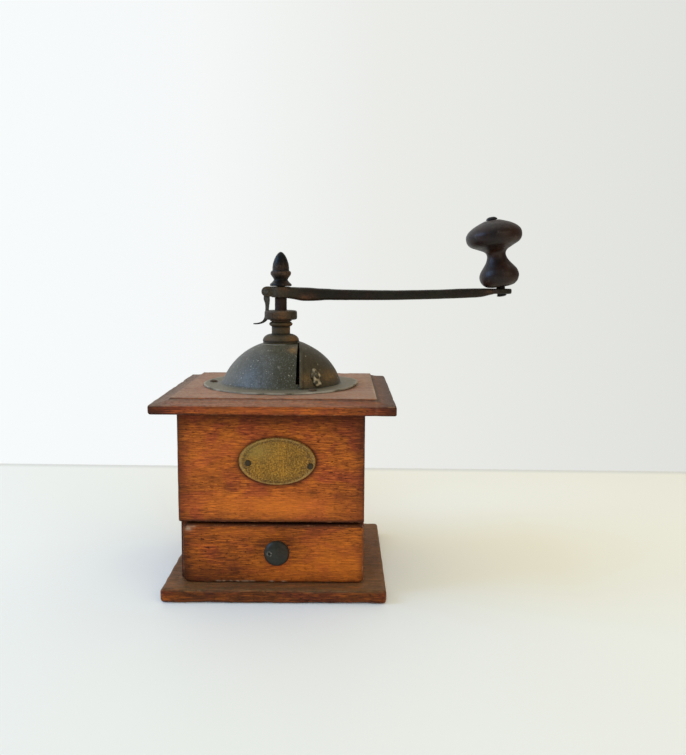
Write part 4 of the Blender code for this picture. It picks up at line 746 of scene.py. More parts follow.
rusty_iron = iron_finish("nail_iron", (0.10, 0.060, 0.034), (0.060, 0.042, 0.030), (0.16, 0.062, 0.022),
                         0.6, 0.35, 0.6, grain=3.0)
dull_steel = iron_finish("dull_steel", (0.16, 0.15, 0.14), (0.10, 0.092, 0.082), (0.13, 0.062, 0.028), 0.25,
                         0.85, 0.42, grain=2.0)
nail, base_screw = (0.0012, 0.0006, 0.0007, 0.0190, 0.0), (0.0032, 0.0018, 0.0015, 0.0180, 0.0008)
wood_screw, ring_screw = (0.0036, 0.0012, 0.0018, 0.0130, 0.0008), (0.0029, 0.0016, 0.0015, 0.0085, 0.0008)
bridge_bolt = (0.0026, 0.0015, 0.0013, 0.0100, 0.0007)
rusty, plain = (rusty_iron, "rusty_iron"), (dull_steel, "steel")
for name, stem, numbers, facing, body, (finish, slot), sizes, seed in (
        ("box_nails_front", "front_nail_", (1, 2, 3, 4), (0, -1, 0), "case", rusty, nail, 1),
        ("box_nails_back", "back_nail_", (1, 2, 3, 4), (0, 1, 0), "case", rusty, nail, 1),
        ("base_screws", "base_screw_", (1, 2, 3, 4), (0, 0, -1), "case", plain, base_screw, 3),
        ("drawer_nails_left", "drawer_nail_", (1, 2), (-1, 0, 0), "drawer", rusty, nail, 1),
        ("drawer_nails_right", "drawer_nail_", (3, 4), (1, 0, 0), "drawer", rusty, nail, 1),
        ("knob_screw", "drawer_knob_screw_", (1,), (0, 1, 0), "drawer", plain, wood_screw, 5),
        ("ring_screws", "burr_ring_screw_", (1, 2, 3), (0, 0, -1), "case", plain, ring_screw, 7),
        ("bridge_bolts", "bridge_screw_", (1, 2), (0, 0, -1), "case", plain, bridge_bolt, 9)):
    fasteners(name, [stem + str(i) for i in numbers], facing, finish, body, slot, sizes, seed)


# The mill below the top board: a cast ring with teeth inside, a toothed cone on the spindle, a steel
# pin through both, and the bridge that guides the spindle's foot. None of it shows when it is shut.
def soften(points, reach, steps=3, closed=False):
    """A profile with its corners rounded."""
    made = []
    for i, here in enumerate(points):
        if not closed and i in (0, len(points) - 1):
            made.append(tuple(here))
            continue
        here = Vector(here)
        before, after = Vector(points[i - 1]), Vector(points[(i + 1) % len(points)])
        start = here + (before - here).normalized() * min(reach, (before - here).length * 0.45)
        end = here + (after - here).normalized() * min(reach, (after - here).length * 0.45)
        for k in range(steps + 1):
            t = k / steps
            made.append(tuple((1 - t) ** 2 * start + 2 * t * (1 - t) * here + t * t * end))
    return made


def flow(points, per=4, closed=False):
    """A smooth curve through points of any number of values."""
    count = len(points)
    made = []
    for i in range(count if closed else count - 1):
        a, b, c, d = (Vector(points[(i + k) % count] if closed else points[min(max(i + k, 0), count - 1)])
                      for k in (-1, 0, 1, 2))
        for k in range(per):
            t = k / per
            made.append(tuple(0.5 * (2 * b + (c - a) * t + (2 * a - 5 * b + 4 * c - d) * t * t
                                     + (3 * b - a - 3 * c + d) * t ** 3)))
    return made if closed else [*made, tuple(points[-1])]


def join_rings(solid, rings):
    """Faces between rings of vertices, each after the last; a ring may be one point."""
    for lower, upper in zip(rings, rings[1:]):
        count = max(len(lower), len(upper))
        for i in range(count):
            j = (i + 1) % count
            if len(lower) == 1:
                solid.faces.new((lower[0], upper[j], upper[i]))
            elif len(upper) == 1:
                solid.faces.new((lower[i], lower[j], upper[0]))
            else:
                solid.faces.new((lower[i], lower[j], upper[j], upper[i]))


def lathe(profile, sides=96, closed=True, place=None, dents=0.0, seed=0.0, fit=None):
    """Turn a profile of (radius, height) about the Z axis into a closed shape. fit changes a point's
    radius by its angle, and dents is how far the surface wanders."""
    solid = bmesh.new()
    rings = []
    rows = [tuple(profile[0])]
    for before, after in zip(profile, [*profile[1:], *(profile[:1] if closed else [])]):
        count = max(1, math.ceil((Vector(after) - Vector(before)).length / 0.0007))
        rows += [tuple(Vector(before).lerp(Vector(after), k / count)) for k in range(1, count + 1)]
    for radius, height in rows[:-1] if closed else rows:
        if radius < 1e-6:
            rings.append([solid.verts.new((0, 0, height))])
            continue
        ring = []
        for i in range(sides):
            angle = math.tau * i / sides
            here = fit(angle, radius, height) if fit else radius
            spot = Vector((here * math.cos(angle), here * math.sin(angle), height))
            here += dents * (noise.noise(spot * 110 + Vector((seed, 0, 0))) + 0.6 * noise.noise(spot * 380))
            ring.append(solid.verts.new((here * math.cos(angle), here * math.sin(angle), height)))
        rings.append(ring)
    join_rings(solid, [*rings, rings[0]] if closed else rings)
    bmesh.ops.recalc_face_normals(solid, faces=solid.faces)
    if place:
        bmesh.ops.transform(solid, matrix=place, verts=solid.verts)
    return solid


def paint_by(solid, name, rule):
    """Store a value in a shape's points by a rule of their place."""
    layer = solid.verts.layers.float.get(name) or solid.verts.layers.float.new(name)
    for vert in solid.verts:
        vert[layer] = max(0.0, min(vert[layer] + rule(vert.co), 1.0))


def held(value):
    """A value kept between 0 and 1."""
    return max(0.0, min(value, 1.0))


def bell(off, reach):
    """A soft peak: 1 where off is zero, gone a little beyond its reach."""
    return math.exp(-(off / reach) ** 2)


def forged(shells, voxel, rounds=4, cutters=(), bumps=0.0):
    """Closed shells melted into one soft-edged shape, as if forged or cast, with holes cut after."""
    whole = bmesh.new()
    for shell in shells:
        whole.from_mesh(as_mesh(shell, "shell"))
    holder = staged(as_mesh(whole, "blank"))
    melt = holder.modifiers.new("melt", "REMESH")
    melt.mode = "VOXEL"
    melt.voxel_size = voxel
    soft = holder.modifiers.new("soft", "SMOOTH")
    soft.factor = 0.5
    soft.iterations = rounds
    solid = settled(holder)
    solid.normal_update()
    if bumps:
        for vert in solid.verts:
            shift = noise.noise(vert.co * 130) + 0.7 * noise.noise(vert.co * 420)
            vert.co += vert.normal * bumps * shift
    return cut_holes(solid, cutters) if cutters else solid


def block(low, high):
    """A plain block as a mesh to cut with."""
    solid = bmesh.new()
    bmesh.ops.create_cube(solid, size=1)
    size, middle = Vector(high) - Vector(low), (Vector(high) + Vector(low)) / 2
    for vert in solid.verts:
        vert.co = Vector(vert.co[a] * size[a] + middle[a] for a in range(3))
    return as_mesh(solid, "block")


def toothed(bottom, top, depth):
    """How far a burr's tooth stands out at an angle and height: eleven slanted saw teeth."""
    def tooth(angle, height):
        """The tooth's height at a point of the burr."""
        climb = (height - bottom) / (top - bottom)
        share = (angle * 11 / math.tau + climb * 11 * 24 / 360) % 1.0
        return depth * (share / 0.75 if share < 0.75 else (1 - share) / 0.25)
    return tooth


cast_iron = iron_finish("cast_iron", (0.045, 0.043, 0.040), (0.030, 0.027, 0.024), (0.10, 0.045, 0.020),
                        0.30, 0.5, 0.55,
                        grain=1.6, pits=1.6)
ring_low, ring_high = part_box("burr_ring")
exit_r, throat_r, throat_z = 0.01994, 0.0135, ring_high.z - 0.0105
ring_flange_r, ring_r, tooth_depth, bore_steps = 0.0340, 0.0260, 0.0011, 14
ring_tooth = toothed(ring_low.z, throat_z, tooth_depth)


def ring_bore(angle, radius, height):
    """Teeth on the ring's cone, and plain walls elsewhere."""
    on_cone = throat_r + (exit_r - throat_r) * (throat_z - height) / (throat_z - ring_low.z)
    inside = height < throat_z - 1e-5 and abs(radius - on_cone) < 0.0004
    return radius + (ring_tooth(angle, height) if inside else 0.0)


bore_rows = [(exit_r + (throat_r - exit_r) * k / bore_steps,
              ring_low.z + (throat_z - ring_low.z) * k / bore_steps)
             for k in range(bore_steps + 1)]
ring_flank = [(0.0236, ring_high.z), (ring_flange_r, ring_high.z), (ring_flange_r, ring_high.z - 0.0032),
              (ring_r + 0.0002, ring_high.z - 0.0034), (ring_r, ring_low.z), (0.0228, ring_low.z)]
solid = lathe(soften(ring_flank, 0.0006) + bore_rows
              + [(0.0150, throat_z + 0.0016), (0.0190, throat_z + 0.0060)], 198,
              dents=0.00008, fit=ring_bore)
show("mill_ring", solid, cast_iron, "case", "cast_iron", "burr_ring")

cone_low, cone_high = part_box("grinding_cone")
cone_tooth = toothed(cone_low.z, cone_high.z, tooth_depth)
cone_foot, cone_tip, cone_tall, cone_bore = 0.0176, 0.0072, 0.0200, 0.0042


def cone_flank(angle, radius, height):
    """Teeth cut into the cone's flank, and a plain bore."""
    return radius - (cone_tooth(-angle, height) if radius > cone_bore else 0.0)


cone_rows = [(cone_foot + (cone_tip - cone_foot) * k / bore_steps, cone_low.z + cone_tall * k / bore_steps)
             for k in range(bore_steps + 1)]
solid = lathe([(cone_bore, cone_low.z), *cone_rows, (cone_bore, cone_low.z + cone_tall)], 198,
              dents=0.00006, fit=cone_flank)
mill_pin = (cone_low.z + cone_high.z) / 2
solid = cut_holes(solid, [bar(0.0015, (0, -0.03, mill_pin), (0, 0.03, mill_pin), 32)])
show("mill_cone", solid, cast_iron, "spindle", "cast_iron", "grinding_cone")
pin_profile = soften([(0, -0.0085), (0.0012, -0.0085), (0.0012, 0.0085), (0, 0.0085)], 0.0002)
across = Matrix.Translation((0, 0, mill_pin)) @ Matrix.Rotation(math.pi / 2, 4, "X")
show("mill_pin", lathe(pin_profile, 32, False, across, 0.00002), dull_steel, "spindle", "steel", "cone_pin")

low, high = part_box("bearing_bridge")
span = worn_board((low.x, low.y, high.z - 0.0030), (high.x, high.y, high.z), 0.0005, cell=0.004)
boss = lathe([(0, low.z), (0.0065, low.z), (0.0065, high.z - 0.0008), (0, high.z - 0.0008)], 64, False)
solid = forged([span, boss], 0.00035, 3, [bar(0.0033, (0, 0, low.z - 0.01), (0, 0, high.z + 0.01), 48)],
               0.00005)
show("foot_bridge", solid, cast_iron, "case", "cast_iron", "bearing_bridge")


# The hopper: a dome spun from blued sheet in one with its flange, and cut away on the right for the
# door. The flange has sprung up a little at the right, between two of the screws that hold it down.
def sheet(solid, rows, joined=False):
    """Faces between rows of points or vertices, and the rows' vertices. joined closes each row."""
    made = []
    for row in rows:
        made.append([vert if isinstance(vert, bmesh.types.BMVert) else solid.verts.new(vert)
                     for vert in row])
    for upper, lower in zip(made, made[1:]):
        for i in range(len(upper) - (0 if joined else 1)):
            j = (i + 1) % len(upper)
            solid.faces.new((upper[i], upper[j], lower[j], lower[i]))
    return made


def walled(solid, thickness, middle):
    """Give a sheet its thickness, outwards from its face if positive and inwards if negative."""
    bmesh.ops.recalc_face_normals(solid, faces=solid.faces)
    face = max(solid.faces, key=lambda one: one.calc_center_median().z)
    if face.normal.dot(face.calc_center_median() - middle) < 0:
        bmesh.ops.reverse_faces(solid, faces=solid.faces)
    holder = staged(as_mesh(solid, "blank"))
    wall = holder.modifiers.new("wall", "SOLIDIFY")
    wall.thickness = abs(thickness)
    wall.offset = math.copysign(1, thickness)
    return settled(holder)


def sheet_finish(name, base, warm_and_shade, rust_and_warm_light, metal, rough, shift=0.0, dusty=0.2, dust_and_light=(0.25, 0.20, 0.14)):
    """Blued sheet gone dull: soft streaks down from the neck, warmer patches, and dust and rust where they are painted
    on. The painted warm layer also holds painted shade, the painted dust layer painted light, and the painted rub
    layer painted highlights."""
    finish, tree, shader = new_finish(name)
    away = (shift, shift, shift)
    spot = step(tree, "TexCoord").outputs["Object"]
    x, y, z = step(tree, "SeparateXYZ", {0: spot}).outputs
    level = step(tree, "CombineXYZ", {0: x, 1: y}).outputs[0]
    facing = step(tree, "VectorMath", {0: level}, operation="NORMALIZE").outputs[0]
    fall = step(tree, "CombineXYZ", {2: calc(tree, "MULTIPLY", z, 9.0)}).outputs[0]
    down = step(tree, "VectorMath", {0: facing, 1: fall}, operation="ADD").outputs[0]
    streak = mottle(tree, down, 11.0, 4.0, 0.6)
    thin = mottle(tree, down, 42.0, 3.0, 0.6)
    fine = mottle(tree, spread(tree, (1, 1, 1), away), 420, 5.0, 0.65)
    broad = mottle(tree, spread(tree, (1, 1, 1), away), 60, 3.0, 0.5, 0.5)
    colour = lay(tree, grade(tree, streak, 0.36, 0.66, 0.0, 0.55), base, [c * 0.60 for c in base])
    colour = lay(tree, calc(tree, "MULTIPLY", grade(tree, broad, 0.42, 0.64), 0.5), colour, warm_and_shade)
    colour = lay(tree, painted(tree, "warm_and_shade"), colour, warm_and_shade)
    colour = lay(tree, grade(tree, thin, 0.60, 0.74, 0.0, 0.30), colour, [c * 1.7 for c in base])
    colour = lay(tree, grade(tree, fine, 0.55, 0.32, 0.0, 0.40), colour, [c * 0.5 for c in warm_and_shade])
    patch = calc(tree, "MULTIPLY", painted(tree, "rust_and_warm_light"), grade(tree, fine, 0.36, 0.54, 0.35, 1.0))
    colour = lay(tree, patch, colour, rust_and_warm_light)
    crumbs = mottle(tree, spread(tree, (1, 1, 1), away), 900, 3.0, 0.6)
    gold = calc(tree, "MULTIPLY", patch, grade(tree, crumbs, 0.56, 0.64))
    colour = lay(tree, gold, colour, [c * 1.8 for c in rust_and_warm_light])
    colour = lay(tree, painted(tree, "stain_and_shade"), colour, (0.010, 0.009, 0.008))
    flecks = mottle(tree, spread(tree, (1, 1, 1), (5, 5, 5)), 620, 0.0, 0.5)
    colour = lay(tree, grade(tree, flecks, 0.80, 0.82, 0.0, 0.7), colour, (0.42, 0.38, 0.30))
    grit = mottle(tree, spread(tree, (1, 1, 1), away), 1100, 2.0, 0.6)
    colour = lay(tree, grade(tree, grit, 0.56, 0.70, 0.0, 0.45), colour, [c * 2.1 for c in base])
    colour = lay(tree, grade(tree, grit, 0.44, 0.32, 0.0, 0.45), colour, [c * 0.35 for c in base])
    _, _, upwards = step(tree, "SeparateXYZ", {0: step(tree, "TexCoord").outputs["Normal"]}).outputs
    settled = calc(tree, "MULTIPLY", grade(tree, upwards, 0.80, 0.99),
                   grade(tree, fine, 0.34, 0.58, 0.30, 1.0))
    colour = lay(tree, calc(tree, "MULTIPLY", settled, dusty), colour, dust_and_light)
    powder = calc(tree, "MULTIPLY", painted(tree, "dust_and_light"), grade(tree, crumbs, 0.38, 0.58, 0.35, 1.0))
    colour = lay(tree, powder, colour, dust_and_light)
    colour = lay(tree, painted(tree, "rub_and_highlight"), colour, (0.40, 0.37, 0.31))
    tree.links.new(colour, shader.inputs["Base Color"])
    covered = calc(tree, "MAXIMUM", patch, powder)
    covered = calc(tree, "MAXIMUM", covered, calc(tree, "MULTIPLY", settled, dusty))
    tree.links.new(grade(tree, covered, 0.0, 0.8, metal, 0.0), shader.inputs["Metallic"])
    coarse = grade(tree, fine, 0.3, 0.7, rough - 0.07, rough + 0.10)
    tree.links.new(calc(tree, "ADD", coarse, calc(tree, "MULTIPLY", covered, 0.3)),
                   shader.inputs["Roughness"])
    shader.inputs["Specular IOR Level"].default_value = 0.30
    bumps = relief(tree, calc(tree, "ADD", fine, calc(tree, "MULTIPLY", covered, 0.7)), 0.00016, 0.7)
    tree.links.new(relief(tree, broad, 0.0006, 0.35, bumps), shader.inputs["Normal"])
    return finish


dome_r, flange_r, foot_r, window_x, sheet_thick = 0.0440, 0.0545, 0.0418, 0.0126, 0.0010
flange_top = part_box("dome")[0].z + sheet_thick
dome_middle = flange_top - 0.0139
ledge = flange_top + 0.0036
land = dome_middle + math.sqrt(dome_r ** 2 - window_x ** 2)


def dome_radius(height, radius=dome_r):
    """The dome's radius at a height."""
    return math.sqrt(max(0.0, radius ** 2 - (height - dome_middle) ** 2))


def arc_row(radius, height, start, end, count, shape=lambda angle, radius, height: (radius, height)):
    """Points along part of a circle."""
    row = []
    for i in range(count + 1):
        angle = start + (end - start) * i / count
        r, h = shape(angle, radius, height)
        row.append(Vector((r * math.cos(angle), r * math.sin(angle), h)))
    return row


def worn_dome(angle, radius, height):
    """A point of the dome or flange, dented, with the flange sprung up at the right."""
    spot = Vector((radius * math.cos(angle), radius * math.sin(angle), height))
    dent = 0.00022 * noise.noise(spot * 55) + 0.00008 * noise.noise(spot * 210)
    out = max(0.0, (radius - foot_r) / (flange_r - foot_r))
    if height < flange_top + 0.0005:
        away = math.atan2(math.sin(angle), math.cos(angle))
        lift = 0.0016 * bell(away, 0.45) * out ** 1.4
        lift += 0.00025 * out * noise.noise(spot * 60 + Vector((4, 0, 0)))
        return radius + dent * 0.3, height + lift
    return radius + dent, height


closed, opened = 132, 64
ledge_angle = math.acos(window_x / dome_radius(ledge))
full = [(flange_r, flange_top)]
full += [(flange_r - 0.0102 * k / 6, flange_top) for k in range(1, 7)]
full += [(0.0429, flange_top + 0.0002), (0.0420, flange_top + 0.0008),
         (dome_radius(flange_top + 0.0018), flange_top + 0.0018),
         (dome_radius(ledge), ledge)]
solid = bmesh.new()
rows = []
for radius, height in reversed(full):
    behind = arc_row(radius, height, ledge_angle, math.tau - ledge_angle, closed, worn_dome)
    before = arc_row(radius, height, -ledge_angle, ledge_angle, opened, worn_dome)
    rows.append(behind + before[1:-1])
made = sheet(solid, rows, True)
steps = 46
start, end = math.asin((ledge - dome_middle) / dome_r), math.asin((land - dome_middle) / dome_r)
cap = []
for k in range(steps, 0, -1):
    slope = start + (end - start) * k / steps
    height = dome_middle + dome_r * math.sin(slope)
    radius = dome_r * math.cos(slope)
    half = math.acos(min(1.0, window_x / radius))
    cap.append(arc_row(radius, height, half, math.tau - half, closed, worn_dome))
inner = [arc_row(radius, land, 0.0, math.tau, closed, worn_dome) for radius in (0.0062, 0.0085, 0.0108)]
land_rows = sheet(solid, [row[:-1] for row in (*inner, cap[0])], True)
first = land_rows[-1] + [land_rows[-1][0]]
sheet(solid, [first, *cap[1:], made[0][:closed + 1]])
solid = walled(solid, -sheet_thick, Vector((0, 0, dome_middle)))


def near_spot(place, reach):
    """A rule for a soft spot about a place."""
    place = Vector(place)
    return lambda co: bell((co - place).length, reach)


# painted shade: darker and browner on the right, away from the window, and near the top, under the collar
paint_by(solid, "warm_and_shade", lambda co: 0.90 * held((co.x + 0.013) / 0.015)
         + 0.75 * held((co.z - land + 0.007) / 0.006))
paint_by(solid, "warm_and_shade", lambda co: 0.7 if co.z < flange_top + 0.0015 else 0.0)
# painted light: paler on the left, where the window falls
paint_by(solid, "dust_and_light",
         lambda co: 0.30 * held((-co.x - 0.016) / 0.016) if co.z > flange_top + 0.003 else 0.0)
paint_by(solid, "dust_and_light", lambda co: 0.62 * held((math.hypot(co.x, co.y) - foot_r) / 0.004)
         if co.z < flange_top + 0.003 else 0.0)
paint_by(solid, "rub_and_highlight", lambda co: 0.75 * held((math.hypot(co.x, co.y) - flange_r + 0.0005) / 0.0004)
         * (0.5 + noise.noise(co * 150)) if co.z < flange_top + 0.003 else 0.0)
# painted highlight: a pale line just below the collar's rim at the front
paint_by(solid, "rub_and_highlight", lambda co: 0.6 * bell(math.hypot(co.x, co.y) - 0.0135, 0.0005) if co.x < 0.004
         and co.y < 0 else 0.0)
for place, strength in (((0.0095, -0.019, 0.1605), 0.75), ((0.0120, -0.016, 0.1618), 0.6)):
    paint_by(solid, "rust_and_warm_light",
             lambda co, near=near_spot(place, 0.0034), strength=strength: strength * near(co))
blued_sheet = sheet_finish("blued_sheet", (0.105, 0.108, 0.106), (0.044, 0.041, 0.024),
                           (0.17, 0.085, 0.026), 0.25, 0.46,
                           dusty=0.35, dust_and_light=(0.225, 0.185, 0.130))
for place in ((-0.0195, -0.0330, 0.1505), (0.0012, -0.0340, 0.1500), (0.0085, -0.0425, 0.1420),
              (-0.0275, -0.0335, 0.1400)):
    paint_by(solid, "rub_and_highlight", lambda co, near=near_spot(place, 0.0006): near(co))
show("hopper", solid, blued_sheet, "case", "blued_sheet", "dome", angle=40)
fasteners("hopper_screws", [f"dome_screw_{i}" for i in (1, 2, 3)], (0, 0, 1), rusty_iron, "case",
          "rusty_iron",
          (0.0028, 0.0012, 0.0015, 0.0085, 0.0008), 11)


# The hopper's door: a segment of an outer shell that turns on a ring about the neck. Its free edges
# are raised in a lip, and a small cast leaf riveted to it is its thumb tab.
ajar = Matrix.Rotation(math.radians(2.7), 4, "Z")
door_r, door_sheet, neck_hole = 0.0443, 0.0009, 0.0069
door_foot = flange_top + 0.0008
door_under = land + 0.0003
door_x = 0.0129
slope_foot = math.asin((door_foot - dome_middle) / door_r)
slope_top = math.asin((door_under - dome_middle) / door_r)


def door_half(radius):
    """Half the door's angle where its shell has a radius."""
    return max(math.acos(min(1.0, door_x / radius)), math.asin(min(1.0, 0.006 / radius)))


def worn_door(half):
    """The door's dents and raised edges, for a row that spans half an angle each way."""
    def shape(angle, radius, height):
        """A point of the door."""
        from_edge = (half - abs(angle)) * radius
        lip = 0.0011 * math.exp(-(from_edge / 0.0024) ** 4) if height < door_under - 0.0035 else 0.0
        spot = Vector((radius * math.cos(angle), radius * math.sin(angle), height))
        dent = 0.00035 * noise.noise(spot * 48 + Vector((7, 7, 0))) + 0.00010 * noise.noise(spot * 200)
        out = lip + dent * min(1.0, (door_under - height) / 0.004)
        climb = (height - dome_middle) / door_r
        return radius + out * math.sqrt(max(0.0, 1 - climb ** 2)), height + out * climb
    return shape


solid = bmesh.new()
close = {0, 0.006, 0.012, 0.018, 0.024, 0.03, 0.037, 0.045, 0.055, 0.07}
edge_shares = sorted(close | {k / 40 for k in range(4, 37)} | {1 - share for share in close})
rows = []
for k in range(45):
    slope = slope_top + (slope_foot - slope_top) * k / 44
    radius, height = door_r * math.cos(slope), dome_middle + door_r * math.sin(slope)
    half = door_half(radius)
    shape = worn_door(half)
    row = []
    for share in edge_shares:
        angle = half * (2 * share - 1)
        r, h = shape(angle, radius, height)
        row.append(Vector((r * math.cos(angle), r * math.sin(angle), h)))
    rows.append(row)
top_row = sheet(solid, rows)[0]
top_r = door_r * math.cos(slope_top)
half = door_half(top_r)
around = arc_row(top_r, door_under, half, math.tau - half, 72)[1:-1]
outer = top_row + [solid.verts.new(spot) for spot in around]
inner = []
for vert in outer:
    flat = Vector((vert.co.x, vert.co.y, 0)).normalized() * neck_hole
    inner.append(solid.verts.new((flat.x, flat.y, door_under)))
for i in range(len(outer)):
    j = (i + 1) % len(outer)
    solid.faces.new((inner[i], inner[j], outer[j], outer[i]))
solid = walled(solid, door_sheet, Vector((0, 0, dome_middle)))
bmesh.ops.transform(solid, matrix=ajar, verts=solid.verts)


def lip_share(co):
    """1 on the door's raised edges, and 0 inside them."""
    back = ajar.inverted() @ co
    flat = math.hypot(back.x, back.y)
    if flat < door_x:
        return 0.0
    return math.exp(-((door_half(flat) - abs(math.atan2(back.y, back.x))) * flat / 0.0026) ** 4)


paint_by(solid, "dust_and_light", lambda co: 0.50 * lip_share(co) * (0.7 + 0.6 * noise.noise(co * 200))
         if co.z < door_under - 0.004 else 0.0)
paint_by(solid, "rust_and_warm_light",
         lambda co: 0.60 * bell(co.z - flange_top - 0.0075, 0.0042) * (0.75 + 0.6 * noise.noise(co * 90)))
paint_by(solid, "warm_and_shade", lambda co: 0.35 - 0.35 * lip_share(co))
brown_sheet = sheet_finish("brown_sheet", (0.058, 0.048, 0.030), (0.056, 0.038, 0.018),
                           (0.17, 0.085, 0.022), 0.35, 0.48, 3.0,
                           dusty=0.10, dust_and_light=(0.115, 0.108, 0.080))
show("door", solid, brown_sheet, "hopper_door", "brown_sheet", "hopper_door", angle=40)


def medal(outline, levels, place, rise=None, dents=0.0):
    """A flat piece from rings: each level is (share of the outline, height), from the back's middle
    round the rim to the front's middle."""
    solid = bmesh.new()
    rings = []
    for share, height in levels:
        spots = [Vector((x * share, y * share, height)) for x,
                 y in outline] if share else [Vector((0, 0, height))]
        for spot in spots:
            if rise and height > 0:
                spot.z += rise(spot.x, spot.y, share)
            spot.z += dents * noise.noise(spot * 160) if height > 0 else 0.0
        rings.append([solid.verts.new(spot) for spot in spots])
    join_rings(solid, rings)
    bmesh.ops.recalc_face_normals(solid, faces=solid.faces)
    bmesh.ops.transform(solid, matrix=place, verts=solid.verts)
    return solid


def ribs(x, y, share):
    """The leaf's swell and its slanted ribs."""
    return (1 - share ** 2) * (0.0007 + 0.00045 * (0.5 + 0.5 * math.cos((abs(x) - y * 0.5) * 2600)))


leaf_width, leaf_length = 0.0088, 0.0134
leaf_shares = ((0.00, -0.50), (0.30, -0.44), (0.42, -0.30), (0.34, -0.16), (0.50, 0.00), (0.38, 0.18),
               (0.24, 0.34), (0.00, 0.50),
               (-0.24, 0.34), (-0.38, 0.18), (-0.50, 0.00), (-0.34, -0.16), (-0.42, -0.30), (-0.30, -0.44))
leaf = flow([(x * leaf_width, y * leaf_length) for x, y in leaf_shares], 6, True)
tab_z = flange_top + 0.0075 - dome_middle
tab_slope = math.asin(tab_z / (door_r + door_sheet))
tab_turn = math.radians(-52.7)
outward = Vector((math.cos(tab_slope) * math.cos(tab_turn), math.cos(tab_slope) * math.sin(tab_turn),
                  math.sin(tab_slope)))
seat = Vector((0, 0, dome_middle)) + outward * (door_r + door_sheet + 0.0003)
place = ajar @ Matrix.Translation(seat) @ outward.to_track_quat("Z", "Y").to_matrix().to_4x4()
levels = [(0, 0), (0.5, 0), (0.96, 0), (1.0, 0.0003), (1.0, 0.0007), (0.95, 0.0010), (0.88, 0.0010)]
levels += [(0.88 * (1 - k / 9), 0.0010) for k in range(1, 9)] + [(0, 0.0010)]
solid = medal(leaf, levels, place, ribs, 0.00012)
paint_by(solid, "dust_and_light", lambda co: 0.35 + 1.5 * noise.noise(co * 420))
paint_by(solid, "stain_and_shade", lambda co: 1.2 * max(0.0, noise.noise(co * 330 + Vector((3, 1, 4))) - 0.05))
leaf_iron = iron_finish("leaf_iron", (0.050, 0.042, 0.026), (0.030, 0.023, 0.014), (0.12, 0.066, 0.024),
                        0.5, 0.3, 0.6, grain=2.0,
                        pits=1.6, dusty=0.15, dust_and_light=(0.42, 0.33, 0.21))
show("thumb_tab", solid, leaf_iron, "hopper_door", "brown_sheet", "door_tab")
facing = (ajar.to_3x3() @ outward).normalized()
rivet_seat = ajar @ (seat + outward * 0.0016)
fasteners("tab_rivet", ["door_tab_rivet_1"], facing, leaf_iron, "hopper_door", "rusty_iron",
          (0.0018, 0.0009, 0.0009, 0.0028, 0.0), 13, [rivet_seat])


# The neck: a turned iron sleeve with a round collar and a bead, which carries the spindle. A hexagon
# nut clamps it to the dome from inside.
neck_iron = iron_finish("neck_iron", (0.058, 0.040, 0.020), (0.070, 0.043, 0.018), (0.105, 0.046, 0.014),
                        0.55, 0.35, 0.52, grain=1.4,
                        pits=1.5, dusty=0.25, dust_and_light=(0.15, 0.115, 0.070), speck=0.5)
bore_r, tube_r, shank_r, collar_r, nut_r = 0.00465, 0.0065, 0.0059, 0.0129, 0.0095
collar, collar_top = land + 0.0015, land + 0.0065
bead, bead_top = collar_top + 0.0053, collar_top + 0.0087
curve = [(tube_r + (collar_r - tube_r) * math.sin(a), collar + 0.0050 * math.cos(a))
         for a in (math.pi / 2 * i / 12 for i in range(13))]
beading = [(tube_r + 0.00175 * math.sin(math.pi * i / 10) ** 0.7, bead_top - 0.0034 * i / 10)
           for i in range(11)]
profile = [(bore_r, bead_top), *beading, (tube_r, bead - 0.0004), *curve, (collar_r - 0.0005, collar),
           (0.0066, collar), (0.0066, land + 0.0003),
           (shank_r, land + 0.0003), (shank_r, land - 0.0085), (bore_r, land - 0.0085)]
solid = lathe(profile, 128, dents=0.00010)
paint_by(solid, "rust_and_warm_light", lambda co: max(0.0, min(0.55, (co.x - 0.002) * 90)))
# painted shade in the creases at the collar, under the bead and at the bead's top
for level, reach in ((collar_top - 0.0001, 0.0007), (bead - 0.0003, 0.0006), (collar, 0.0007),
                     (bead_top, 0.0005)):
    paint_by(solid, "stain_and_shade", lambda co, level=level, reach=reach: 0.85 * bell(co.z - level, reach))
show("neck", solid, neck_iron, "case", "rusty_iron", "neck_sleeve")
hex_flat = nut_r * math.cos(math.pi / 6)


def hexagon(angle, radius, height):
    """Six flats on the nut's rim, and a round bore."""
    return min(radius,
               hex_flat / math.cos((angle % (math.pi / 3)) - math.pi / 6)) if radius > 0.007 else radius


nut_low, nut_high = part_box("neck_lock_nut")
profile = [(0.0062, nut_high.z), (0.0084, nut_high.z), (nut_r, nut_high.z - 0.0007),
           (nut_r, nut_low.z + 0.0007),
           (0.0084, nut_low.z), (0.0062, nut_low.z)]
show("clamp_nut", lathe(profile, 96, fit=hexagon, dents=0.00003), dull_steel, "case", "steel",
     "neck_lock_nut")


# The grind adjustment: a thin washer on the bead, and a nut with ten notches on the spindle's
# thread. Turning the nut lifts or lowers the cone; the pawl drops in a notch to hold it.
washer_low, washer_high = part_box("thrust_washer")
washer_r, rim_r = 0.0076, 0.0115
profile = soften([(bore_r, washer_high.z), (washer_r, washer_high.z), (washer_r, washer_low.z),
                  (bore_r, washer_low.z)], 0.0002, 2, True)
show("washer", lathe(profile, 96, dents=0.00004), rusty_iron, "thrust_washer", "steel", "thrust_washer")


